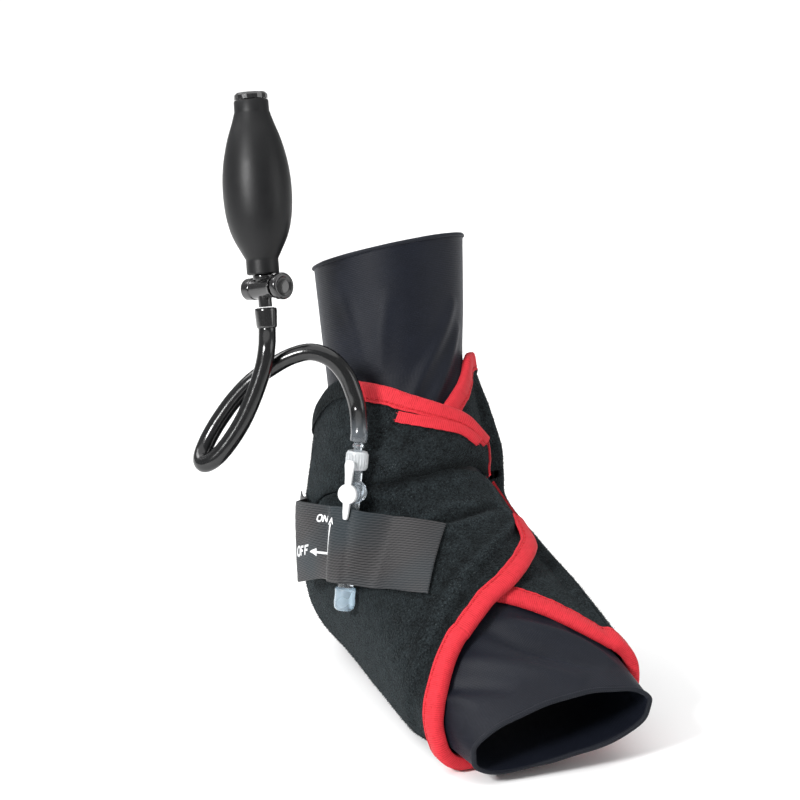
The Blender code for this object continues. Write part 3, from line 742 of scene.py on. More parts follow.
def puff(obj: bpy.types.Object, outer: Array, depth: Array, cap: float, pressure: float = 4.0,
         frames: int = 14) -> None:
    """Swell a pad with a short cloth simulation and keep its outward part on the outer face.

    Args:
        obj: the pad.
        outer: mask of its outer points.
        depth: distance in from the rim, in millimetres.
        cap: the most that a point may rise, in millimetres.
        pressure: the cloth's inner pressure.
        frames: how long it is run.
    """
    mesh = obj.data
    rest = read_points(mesh)
    held = obj.vertex_groups.new(name="held")
    for index in np.flatnonzero((depth < 1.2) | ~outer):
        held.add([int(index)], 1.0, "REPLACE")
    cloth = obj.modifiers.new("Swell", "CLOTH")
    settings = cloth.settings
    settings.quality = 6
    settings.mass = 0.25
    settings.tension_stiffness = settings.compression_stiffness = 12
    settings.shear_stiffness = 6
    settings.bending_stiffness = 1.2
    settings.use_pressure = True
    settings.uniform_pressure_force = pressure
    settings.effector_weights.gravity = 0
    settings.vertex_group_mass = "held"
    cloth.collision_settings.use_collision = False
    cloth.collision_settings.use_self_collision = False
    scene = bpy.context.scene
    for frame in range(1, frames + 1):
        scene.frame_set(frame)
    evaluated = obj.evaluated_get(bpy.context.evaluated_depsgraph_get())
    moved = read_points(evaluated.data) - rest
    obj.modifiers.remove(cloth)
    obj.vertex_groups.remove(held)
    scene.frame_set(1)
    normals = np.empty(len(rest) * 3)
    mesh.vertices.foreach_get("normal", normals)
    normals = normals.reshape(-1, 3)
    rise = np.clip((moved * normals).sum(1), 0, None)
    limit = cap * MM
    rise = limit * np.tanh(rise / limit) * outer
    write_points(mesh, rest + normals * rise[:, None])


def smooth_over(obj: bpy.types.Object, levels: int = 1) -> None:
    """Finish a piece with a subdivision surface."""
    modifier = obj.modifiers.new("Smooth", "SUBSURF")
    modifier.levels = modifier.render_levels = levels


@dataclass
class TapeRun:
    """A tape swept along an edge line with a folded section."""

    name: str
    line: FormLine
    section: Section
    faces: tuple[Field, Field]
    inward: float = 1.0
    span: tuple[float, float] = (0.0, 1.0)
    step: float = 1.1
    wander: float = 0.22
    look: Look = Look.TAPE

    def sides(self, t: Array) -> tuple[Array, Array, Array]:
        """The line's u, v and its sideways direction at places along it."""
        u, v = self.line.at(t)
        ahead = FORM.point(*self.line.at(np.minimum(t + 0.01, 1)), 8)
        behind = FORM.point(*self.line.at(np.maximum(t - 0.01, 0)), 8)
        side = np.cross(ahead - behind, FORM.normal(u, v)) * self.inward
        return u, v, side / np.linalg.norm(side, axis=-1, keepdims=True)

    def run(self) -> Array:
        """Places along the tape, evenly spaced."""
        t = np.linspace(*self.span, 400)
        length = np.concatenate(([0], np.cumsum(np.linalg.norm(
            np.diff(FORM.point(*self.line.at(t), 8), axis=0), axis=1)))) / MM
        count = max(int(length[-1] / self.step), 4)
        return np.interp(np.linspace(0, length[-1], count + 1), length, t)

    def track(self, distance: float, lift: float) -> Array:
        """A line of points on the tape, a distance in from the edge."""
        u, v, side = self.sides(self.run())
        su, sv = FORM.slide(u, v, side, distance)
        return FORM.point(su, sv, self.faces[0](su, sv) + lift)

    def build(self) -> bpy.types.Object:
        """Make the tape."""
        t = self.run()
        u, v, side = self.sides(t)
        cuts, around = len(t) - 1, len(self.section)
        wave = self.wander * (np.sin(t * 61 + len(self.name)) * 0.6 + np.sin(t * 143 + 2) * 0.4)
        rings = []
        for distance, face, lift in self.section:
            reach = distance + (wave if distance > 5 else 0.3 * wave)
            su, sv = FORM.slide(u, v, side, reach)
            rings.append(FORM.point(su, sv, self.faces[face](su, sv) + lift + 0.25 * wave * (face == 0)))
        length = np.concatenate(([0], np.cumsum(np.linalg.norm(np.diff(rings[0], axis=0), axis=1))))
        bm = bmesh.new()
        bmesh.ops.create_cone(bm, cap_ends=True, segments=around, radius1=1, radius2=1, depth=1)
        upright = [e for e in bm.edges if abs(e.verts[0].co.z - e.verts[1].co.z) > 0.5]
        bmesh.ops.subdivide_edges(bm, edges=upright, cuts=cuts - 1)
        mapping = bm.loops.layers.uv.new("cloth")
        first = math.atan2(1, 0)
        for vert in bm.verts:
            k = round((vert.co.z + 0.5) * cuts)
            turn = (math.atan2(vert.co.y, vert.co.x) - first) % math.tau
            j = round(turn / math.tau * around) % around
            for loop in vert.link_loops:
                loop[mapping].uv = (length[k], self.section[j][0] * MM)
            vert.co = rings[j][k]
        return new_piece(self.name, to_mesh(self.name, bm, 50), self.look)


def folded_tape(outer: float = 7.5, inner: float = 4.5) -> Section:
    """Section of a binding folded over an edge: distance in, face (0 outside, 1 inside) and lift."""
    return ((outer, 0, -0.1), (outer, 0, 0.75), (outer - 0.5, 0, 1.02), (outer - 1.0, 0, 0.98),
            (outer - 1.45, 0, 0.72), (outer - 1.9, 0, 1.02), (outer - 3.2, 0, 1.2), (2.6, 0, 1.32),
            (0.9, 0, 1.3), (-0.5, 0, 1.05), (-1.5, 0, 0.3), (-1.8, 0, -0.9), (-1.6, 1, 0.2), (-0.6, 1, -0.9),
            (inner, 1, -0.9),
            (inner, 1, 0.2), (0.2, 0, -1.2))


def axis_matrix(origin: Vector, z_axis: Vector, x_hint: Vector = Vector((1, 0, 0))) -> Matrix:
    """A frame in metres with its Z along an axis.

    Args:
        origin: its place, in millimetres.
        z_axis: where its Z points.
        x_hint: roughly where its X points.

    Returns:
        The matrix from local millimetres to the scene's metres.
    """
    z = Vector(z_axis).normalized()
    y = z.cross(Vector(x_hint)).normalized()
    turn = Matrix((y.cross(z), y, z)).transposed().to_4x4()
    return Matrix.Translation(Vector(origin) * MM) @ turn @ Matrix.Scale(MM, 4)


def softened(profile: Sequence[tuple[float, float]], radius: float,
             closed: bool) -> list[tuple[float, float]]:
    """Round the corners of a turned profile.

    Args:
        profile: (radius, length) points.
        radius: how far from each corner the rounding starts.
        closed: whether the last point joins the first.

    Returns:
        The rounded profile.
    """
    points = [Vector((r, z)) for r, z in profile]
    count = len(points)
    out: list[tuple[float, float]] = []
    for i, here in enumerate(points):
        if not closed and i in (0, count - 1):
            out.append(tuple(here))
            continue
        before, after = points[i - 1] - here, points[(i + 1) % count] - here
        cut_a = here + before.normalized() * min(radius, before.length * 0.45)
        cut_b = here + after.normalized() * min(radius, after.length * 0.45)
        for t in (0.0, 0.33, 0.67, 1.0):
            out.append(tuple(cut_a * (1 - t) ** 2 + here * (2 * t * (1 - t)) + cut_b * t * t))
    return out


def turned(profile: Sequence[tuple[float, float]], frame: Matrix, closed: bool = False, soft: float = 0.35,
           steps: int = 40) -> bmesh.types.BMesh:
    """Spin a profile round the frame's Z into a closed bmesh.

    Args:
        profile: Pairs of radius and height, in millimetres.
        frame: Where the axis stands.
        closed: Whether the profile closes on itself.
        soft: Rounding of its corners, in millimetres.
        steps: Faces round the axis.

    Returns:
        The bmesh.
    """
    bm = bmesh.new()
    line = softened(profile, soft, closed) if soft else list(profile)
    verts = [bm.verts.new((r, 0, z)) for r, z in line]
    edges = [bm.edges.new(pair) for pair in zip(verts, verts[1:])]
    if closed:
        edges.append(bm.edges.new((verts[-1], verts[0])))
    bmesh.ops.spin(bm, geom=verts + edges, cent=(0, 0, 0), axis=(0, 0, 1), angle=math.tau, steps=steps)
    bmesh.ops.remove_doubles(bm, verts=bm.verts, dist=0.004)
    bmesh.ops.transform(bm, matrix=frame, verts=bm.verts)
    bmesh.ops.recalc_face_normals(bm, faces=bm.faces)
    if bm.calc_volume(signed=True) < 0:
        bmesh.ops.reverse_faces(bm, faces=bm.faces)
    return bm


def plate(outline: Sequence[tuple[float, float]], low: float, high: float, frame: Matrix,
          soft: float = 0.5) -> bmesh.types.BMesh:
    """A flat plate with rounded edges, from its outline.

    Args:
        outline: Corners in millimetres.
        low: Height of its underside.
        high: Height of its top.
        frame: Where it lies.
        soft: Rounding of its edges.

    Returns:
        The bmesh.
    """
    bm = bmesh.new()
    face = bm.faces.new([bm.verts.new((x, y, low)) for x, y in outline])
    grown = bmesh.ops.extrude_face_region(bm, geom=[face])
    bmesh.ops.translate(bm, vec=(0, 0, high - low),
                        verts=[e for e in grown["geom"] if isinstance(e, bmesh.types.BMVert)])
    rims = [e for e in bm.edges if abs(e.verts[0].co.z - e.verts[1].co.z) < 1e-6]
    bmesh.ops.bevel(bm, geom=rims, offset=soft, segments=3, affect="EDGES", profile=0.5)
    bmesh.ops.transform(bm, matrix=frame, verts=bm.verts)
    bmesh.ops.recalc_face_normals(bm, faces=bm.faces)
    if bm.calc_volume(signed=True) < 0:
        bmesh.ops.reverse_faces(bm, faces=bm.faces)
    return bm


def moulded(name: str, parts: Sequence[bmesh.types.BMesh], look: Look, sharp: float = 42.0) -> bpy.types.Object:
    """Join closed shells into one piece.

    Args:
        name: Name of the piece.
        parts: The shells.
        look: Its finish.
        sharp: Angle in degrees above which an edge stays crisp.

    Returns:
        The object.
    """
    whole = bmesh.new()
    for part in parts:
        mesh = bpy.data.meshes.new("shell")
        part.to_mesh(mesh)
        part.free()
        whole.from_mesh(mesh)
        bpy.data.meshes.remove(mesh)
    for face in whole.faces:
        face.smooth = True
    mesh = bpy.data.meshes.new(name)
    whole.to_mesh(mesh)
    whole.free()
    mesh.set_sharp_from_angle(angle=math.radians(sharp))
    return new_piece(name, mesh, look)


# ---------------------------------------------------------------- repeats, by Geometry Nodes


class Repeat:
    """A Geometry Nodes tree with named inputs, baked to a plain mesh when it has run."""

    def __init__(self, name: str, look: Look) -> None:
        """Start a tree with its geometry in and out, ending in Set Material."""
        self.tree = bpy.data.node_groups.new(name, "GeometryNodeTree")
        self.tree.interface.new_socket("Geometry", in_out="INPUT", socket_type="NodeSocketGeometry")
        self.tree.interface.new_socket("Geometry", in_out="OUTPUT", socket_type="NodeSocketGeometry")
        self.source = self.tree.nodes.new("NodeGroupInput")
        self.sink = self.tree.nodes.new("NodeGroupOutput")
        self.look = look
        self.values: dict[str, float | int] = {}

    def size(self, name: str, value: float | int) -> bpy.types.NodeSocket:
        """Add a named input and give its socket."""
        kind = "NodeSocketInt" if isinstance(value, int) else "NodeSocketFloat"
        self.tree.interface.new_socket(name, in_out="INPUT", socket_type=kind)
        self.values[name] = value
        return self.source.outputs[name]

    def add(self, kind: str, inputs: Inputs | None = None, **settings: object) -> bpy.types.Node:
        """Add a node; inputs are values or sockets.

        Args:
            kind: Type of the node.
            inputs: A value or a socket for each input.
            settings: Options of the node.

        Returns:
            The node.
        """
        node = self.tree.nodes.new(kind)
        for key, value in settings.items():
            setattr(node, key, value)
        for key, value in (inputs or {}).items():
            if isinstance(value, bpy.types.NodeSocket):
                self.tree.links.new(value, node.inputs[key])
            else:
                node.inputs[key].default_value = value
        return node

    def finish(self, instances: bpy.types.NodeSocket) -> None:
        """End the tree: realise the copies and give them their material."""
        real = self.add("GeometryNodeRealizeInstances", {"Geometry": instances})
        shade = self.add("GeometryNodeSetShadeSmooth", {"Geometry": real.outputs[0]})
        last = self.add("GeometryNodeSetMaterial", {"Geometry": shade.outputs[0],
                                                    "Material": finish_of(self.look)})
        self.tree.links.new(last.outputs[0], self.sink.inputs[0])

    def run(self, name: str, source: bpy.types.Mesh, frame: Matrix | None = None) -> bpy.types.Object:
        """Run the tree on a mesh.

        Args:
            name: the new piece's name.
            source: the mesh that the copies follow.
            frame: where to place the result, if the mesh is local.

        Returns:
            A plain mesh piece.
        """
        holder = bpy.data.objects.new(name, source)
        bpy.context.scene.collection.objects.link(holder)
        modifier = holder.modifiers.new("Repeat", "NODES")
        modifier.node_group = self.tree
        for item in self.tree.interface.items_tree:
            if item.item_type == "SOCKET" and item.in_out == "INPUT" and item.name in self.values:
                modifier[item.identifier] = self.values[item.name]
        graph = bpy.context.evaluated_depsgraph_get()
        mesh = bpy.data.meshes.new_from_object(holder.evaluated_get(graph))
        bpy.data.objects.remove(holder, do_unlink=True)
        if frame:
            mesh.transform(frame)
        mesh.name = name
        return new_piece(name, mesh, self.look)


def path_mesh(lines: Sequence[Array]) -> bpy.types.Mesh:
    """Open lines of points as a mesh of edges.

    Args:
        lines: Points of each line, in metres.

    Returns:
        The mesh.
    """
    bm = bmesh.new()
    for line in lines:
        verts = [bm.verts.new(p) for p in line]
        for pair in zip(verts, verts[1:]):
            bm.edges.new(pair)
    mesh = bpy.data.meshes.new("path")
    bm.to_mesh(mesh)
    bm.free()
    return mesh


def stitches(name: str, lines: Sequence[Array], look: Look, pitch: float = 2.7, length: float = 1.9,
             width: float = 0.34) -> bpy.types.Object:
    """A row of sewn stitches along lines, sizes in millimetres.

    Args:
        name: Name of the row.
        lines: Points of each line, in metres.
        look: Finish of the thread.
        pitch: From stitch to stitch.
        length: Length of a stitch.
        width: Thickness of the thread.

    Returns:
        The object.
    """
    row = Repeat("StitchRow", look)
    curve = row.add("GeometryNodeMeshToCurve", {"Mesh": row.source.outputs["Geometry"]})
    spaced = row.add("GeometryNodeResampleCurve", {"Curve": curve.outputs[0],
                                                   "Length": row.size("Pitch", pitch * MM)}, mode="LENGTH")
    thread = row.add("GeometryNodeMeshCylinder", {"Vertices": 6,
                                                  "Radius": row.size("Thread radius", width * MM / 2),
                                                  "Depth": row.size("Stitch length", length * MM)})
    along = row.add("GeometryNodeInputTangent")
    turn = row.add("FunctionNodeAlignRotationToVector", {"Vector": along.outputs[0]}, axis="Z")
    put = row.add("GeometryNodeInstanceOnPoints", {"Points": spaced.outputs[0], "Instance": thread.outputs[0],
                                                   "Rotation": turn.outputs[0]})
    row.finish(put.outputs[0])
    return row.run(name, path_mesh(lines))


def bristles(name: str, surface: bpy.types.Mesh, look: Look, density: float, length: float, width: float,
             seed: int, lean: float = 0.9) -> bpy.types.Object:
    """Short fibres or hooks scattered over a surface.

    Args:
        name: the new piece's name.
        surface: the faces that they stand on.
        look: their finish.
        density: how many to the square millimetre.
        length: millimetres.
        width: millimetres across the foot.
        seed: fixes the scatter.
        lean: how far they may tip, in radians.

    Returns:
        The piece.
    """
    pile = Repeat("Pile", look)
    spread = pile.add("GeometryNodeDistributePointsOnFaces", {
        "Mesh": pile.source.outputs["Geometry"], "Density": pile.size("Density", density / MM ** 2),
        "Seed": pile.size("Seed", seed)}, distribute_method="RANDOM")
    hair = pile.add("GeometryNodeMeshCone", {"Vertices": 3, "Radius Top": 0.0,
                                             "Radius Bottom": pile.size("Foot radius", width * MM / 2),
                                             "Depth": pile.size("Length", length * MM)})
    reach = pile.size("Lean", lean)
    tip = pile.add("FunctionNodeRandomValue", {"Seed": seed + 1}, data_type="FLOAT_VECTOR")
    back = pile.add("ShaderNodeMath", {0: reach, 1: -1.0}, operation="MULTIPLY").outputs[0]
    low = pile.add("ShaderNodeCombineXYZ", {0: back, 1: back, 2: 0.0})
    high = pile.add("ShaderNodeCombineXYZ", {0: reach, 1: reach, 2: 6.28})
    pile.tree.links.new(low.outputs[0], tip.inputs[0])
    pile.tree.links.new(high.outputs[0], tip.inputs[1])
    euler = pile.add("FunctionNodeEulerToRotation", {0: tip.outputs[0]})
    turn = pile.add("FunctionNodeRotateRotation", {"Rotation": spread.outputs["Rotation"],
                                                   "Rotate By": euler.outputs[0]}, rotation_space="LOCAL")
    size = pile.add("FunctionNodeRandomValue", {2: 0.55, 3: 1.25, "Seed": seed + 2}, data_type="FLOAT")
    put = pile.add("GeometryNodeInstanceOnPoints", {"Points": spread.outputs["Points"],
                                                    "Instance": hair.outputs[0],
                                                    "Rotation": turn.outputs[0], "Scale": size.outputs[1]})
    pile.finish(put.outputs[0])
    return pile.run(name, surface)


def rib_ring(name: str, count: int, radius: float, rib: tuple[float, float, float], rise: float, frame: Matrix,
             look: Look) -> bpy.types.Object:
    """Ribs standing round a collar, sizes in millimetres in the frame.

    Args:
        name: Name of the ring.
        count: How many ribs.
        radius: Where they stand.
        rib: Size of one rib.
        rise: Height of their middle.
        frame: Where the collar is.
        look: Their finish.

    Returns:
        The object.
    """
    ring = Repeat("RibRing", look)
    circle = ring.add("GeometryNodeMeshCircle", {"Vertices": ring.size("Ribs", count),
                                                 "Radius": ring.size("Radius", radius)})
    bar = ring.add("GeometryNodeMeshCube", {"Size": rib})
    place = ring.add("GeometryNodeInputPosition").outputs[0]
    ray = ring.add("FunctionNodeAlignRotationToVector", {"Vector": place}, axis="X")
    put = ring.add("GeometryNodeInstanceOnPoints", {"Points": circle.outputs[0], "Instance": bar.outputs[0],
                                                    "Rotation": ray.outputs[0]})
    ring.finish(put.outputs[0])
    return ring.run(name, path_mesh([]), frame @ Matrix.Translation((0, 0, rise)))


# ---------------------------------------------------------------- the undersleeve

LEG_FOLDS = (
    Fold(FormLine(((0.9, 392), (1.5, 372), (2.1, 352), (2.7, 336))), 1.1, 3.4),
    Fold(FormLine(((1.3, 400), (1.9, 382), (2.5, 362), (2.9, 350))), 1.0, 3.0),
    Fold(FormLine(((1.8, 408), (2.3, 392), (2.8, 374))), 0.9, 2.6),
    Fold(FormLine(((0.6, 330), (1.2, 322), (1.9, 318))), 0.5, 4.0),
    Fold(FormLine(((0.4, 288), (1.0, 300), (1.7, 308))), 0.45, 4.5),
)
FOOT_FOLDS = (
    Fold(FormLine(((8.5, 352), (8.8, 372), (9.1, 392), (9.5, 412))), 1.5, 3.6),
    Fold(FormLine(((8.4, 338), (8.9, 356), (9.3, 378), (9.6, 398))), -1.3, 3.4),
    Fold(FormLine(((8.7, 318), (9.1, 340), (9.5, 362), (9.8, 380))), 1.2, 4.2),
    Fold(FormLine(((8.9, 296), (9.2, 318), (9.6, 340))), -1.0, 3.8),
    Fold(FormLine(((8.8, 286), (9.1, 300), (9.5, 316))), 0.9, 3.2),
    Fold(FormLine(((7.8, 398), (8.4, 402), (9.0, 410))), -0.9, 3.4),
    Fold(FormLine(((7.6, 388), (8.2, 386), (8.9, 388))), 1.0, 3.0),
)


@dataclass
class Undersleeve:
    """The stretch-knit tube under the wrap, with a rolled hem at each opening."""

    around: int = 180
    face: float = 1.2
    wall: float = 1.15
    leg_rows: int = 74
    foot_rows: int = 70
    girth: float = 0.238
    length: float = 0.395
    folds: tuple[Fold, ...] = LEG_FOLDS + FOOT_FOLDS
    slack: float = 2.1

    def tube(self) -> bpy.types.Object:
        """The knitted tube."""
        rows = np.concatenate((np.linspace(0.03, 3.3, self.leg_rows), np.linspace(3.5, 6.3, 16),
                               np.linspace(6.4, 9.97, self.foot_rows)))
        angles = np.linspace(0, 360, self.around + 1)
        u, v = np.meshgrid(rows, angles)
        flat = FORM.point(u, v, self.face).reshape(-1, 3)
        relief = self.slack * sum(fold.relief(flat) for fold in self.folds)
        shown = ease((3.6 - u) / 0.8) + ease((u - 7.2) / 0.8)
        height = self.face + relief.reshape(u.shape) * shown
        points = FORM.point(u, v, height)
        run = np.concatenate((np.zeros((len(angles), 1)), np.cumsum(
            np.linalg.norm(np.diff(points, axis=1), axis=2), axis=1)), axis=1)
        girth = np.concatenate((np.zeros((1, len(rows))), np.cumsum(
            np.linalg.norm(np.diff(points, axis=0), axis=2), axis=0)), axis=0)
        bm = bmesh.new()
        bmesh.ops.create_grid(bm, x_segments=self.around, y_segments=len(rows) - 1, size=0.5)
        mapping = bm.loops.layers.uv.new("cloth")
        for vert in bm.verts:
            i, j = round((vert.co.x + 0.5) * self.around), round((vert.co.y + 0.5) * (len(rows) - 1))
            for loop in vert.link_loops:
                loop[mapping].uv = (girth[i, j], run[i, j])
            vert.co = points[i, j]
        bmesh.ops.remove_doubles(bm, verts=bm.verts, dist=1e-6)
        bmesh.ops.recalc_face_normals(bm, faces=bm.faces)
        middle = Vector(FORM.point(1.0, 0.0, -36).tolist())
        front = Vector(FORM.point(1.0, 0.0, 1).tolist())
        probe = min(bm.faces, key=lambda f: (f.calc_center_median() - front).length)
        if probe.normal.dot(probe.calc_center_median() - middle) < 0:
            bmesh.ops.reverse_faces(bm, faces=bm.faces)
        for face in bm.faces:
            face.smooth = True
        mesh = bpy.data.meshes.new("undersleeve")
        bm.to_mesh(mesh)
        bm.free()
        obj = new_piece("undersleeve", mesh, Look.SLEEVE)
        wall = obj.modifiers.new("Wall", "SOLIDIFY")
        wall.thickness = self.wall * MM
        wall.offset = -1
        return obj

    def hem(self, name: str, edge: float, way: int, radius: float) -> bpy.types.Object:
        """A rolled hem round an opening.

        Args:
            name: the piece's name.
            edge: the station of the opening.
            way: which way the roll hangs over.
            radius: of the roll, in millimetres.

        Returns:
            The piece.
        """
        angles = np.linspace(0, 360, self.around, endpoint=False)
        bm = bmesh.new()
        steps = 10
        bmesh.ops.create_grid(bm, x_segments=self.around, y_segments=steps, size=0.5)
        mapping = bm.loops.layers.uv.new("cloth")
        angle = np.radians(angles)
        wobble = 0.22 * np.sin(angle * 5 + 1) + 0.18 * np.sin(angle * 11 + edge)
        centre = FORM.point(np.full_like(angles, edge), angles, self.face - 0.4 + wobble)
        axis = FORM.point(edge - 0.05, angles, self.face) - FORM.point(edge + 0.05, angles, self.face)
        axis = axis / np.linalg.norm(axis, axis=1, keepdims=True) * way
        out = FORM.normal(np.full_like(angles, edge), angles)
        for vert in bm.verts:
            i = round((vert.co.x + 0.5) * self.around) % self.around
            turn = round((vert.co.y + 0.5) * steps) % steps / steps * math.tau
            for loop in vert.link_loops:
                loop[mapping].uv = (angle[i] * 0.037, turn * radius * MM)
            vert.co = centre[i] + (axis[i] * math.cos(turn) * 0.85 + out[i] * math.sin(turn)) * radius * MM
        bmesh.ops.remove_doubles(bm, verts=bm.verts, dist=1e-6)
        return new_piece(name, to_mesh(name, bm), Look.HEM)

    def dress(self) -> None:
        """Build the sleeve and hand it to the frame."""
        tube = self.tube()
        top = self.hem("leg_hem", 0.03, 1, 1.35)
        toe = self.hem("toe_hem", 9.97, -1, 1.25)
        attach(tube, "wrap")
        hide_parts("compression_sleeve")
        for hem, node in ((top, "sleeve_top_hem"), (toe, "sleeve_toe_hem")):
            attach(hem, "wrap")
            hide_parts(node)
        LOG.info("undersleeve and two hems")


# ---------------------------------------------------------------- the wrap

SHELL_TOP = ((1.90, 60), (2.10, 100), (2.45, 170), (2.40, 230), (1.92, 280), (2.02, 305), (2.19, 324))
SHELL_FOOT = ((9.15, 60), (9.25, 100), (9.30, 170), (9.42, 240), (9.22, 285), (8.74, 324))
PANEL_FOOT = ((8.66, 333), (8.56, 342), (8.43, 352))
TIP_FOOT = ((8.26, 367), (7.95, 383), (7.55, 397), (6.95, 406))
UPPER_TOP = ((2.19, 324), (2.43, 339), (2.80, 361), (3.20, 379), (3.95, 393))
CREASE_ONE = ((4.02, 212), (4.10, 235), (4.06, 262), (4.03, 276), (4.34, 297), (4.8, 314), (5.39, 329),
              (5.84, 344), (5.9, 362), (5.77, 382), (5.9, 400))
FAR_UPPER_TOP = ((1.85, 59.3), (1.95, 46), (2.25, 34), (2.72, 10), (3.20, -8), (3.60, -22))
FAR_UPPER_FOOT = ((5.00, 59.3), (5.00, 46), (4.90, 32), (4.80, 12), (4.70, -6), (4.60, -22))
FAR_LOWER_TOP = ((5.30, 59.3), (5.60, 43), (6.10, 18), (6.60, 2), (6.90, -10))
FAR_LOWER_FOOT = ((9.13, 59.3), (8.97, 43), (8.60, 20), (8.35, 3), (8.18, -10))
FLAT_TAPE = ((0, 0, 0.4), (0, 0, 1.35), (0.4, 0, 1.55), (3.0, 0, 1.6), (5.6, 0, 1.55), (6, 0, 1.35),
             (6, 0, 0.4))
EDGING = ((-0.9, 0, -2.6), (-0.9, 0, -0.2), (0.3, 0, 0.3), (0.3, 0, -2.6))
UPPER_HOOK = ((-5.2, 1, -1.5), (-5.2, 1, -0.1), (5, 1, -0.1), (5, 1, -1.5))
LOWER_HOOK = ((0, 1, -1.7), (0, 1, -0.5), (9, 1, -0.5), (9, 1, -1.7))
UPPER_END = ((3.95, 393), (4.6, 395.2), (5.3, 397.7), (5.88, 399.6))
LOWER_END = ((6.08, 400.2), (6.4, 404.6), (6.95, 405.6))
UPPER_TAB = ((4.28, 393.6), (4.6, 394.9), (4.95, 396.4), (5.3, 397.9))
LOWER_TAB = ((7.72, 374), (7.50, 384), (7.22, 393))


def settled(obj: bpy.types.Object) -> bpy.types.Object:
    """Bake a piece's modifiers into its mesh."""
    graph = bpy.context.evaluated_depsgraph_get()
    mesh = bpy.data.meshes.new_from_object(obj.evaluated_get(graph))
    obj.modifiers.clear()
    obj.data = mesh
    return obj


@dataclass(frozen=True)
class Flap:
    """Where a wing of the wrap turns: the hinge's place on the form and the wing's body."""

    u: float
    v: float
    body: str
    reach: float = 5.0

    def attach(self, piece: bpy.types.Object) -> None:
        """Work out the hinge's frame, which is then not used, and bake the piece's transform into its mesh."""
        here = Vector(FORM.point(self.u, self.v, 11).tolist())
        axis = Vector((FORM.point(self.u + 0.7, self.v, 11) - FORM.point(self.u - 0.7, self.v, 11)).tolist())
        side = axis.cross(Vector(FORM.normal(self.u, self.v).tolist())).normalized()
        ahead = Vector((FORM.point(self.u, self.v + 9, 11) - FORM.point(self.u, self.v - 9, 11)).tolist())
        side = side * math.copysign(self.reach * MM, side.dot(ahead))
        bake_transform(piece)


UPPER_FLAP = Flap(3.2, 324.5, "near_upper_wing")
LOWER_FLAP = Flap(8.43, 352, "near_lower_wing")


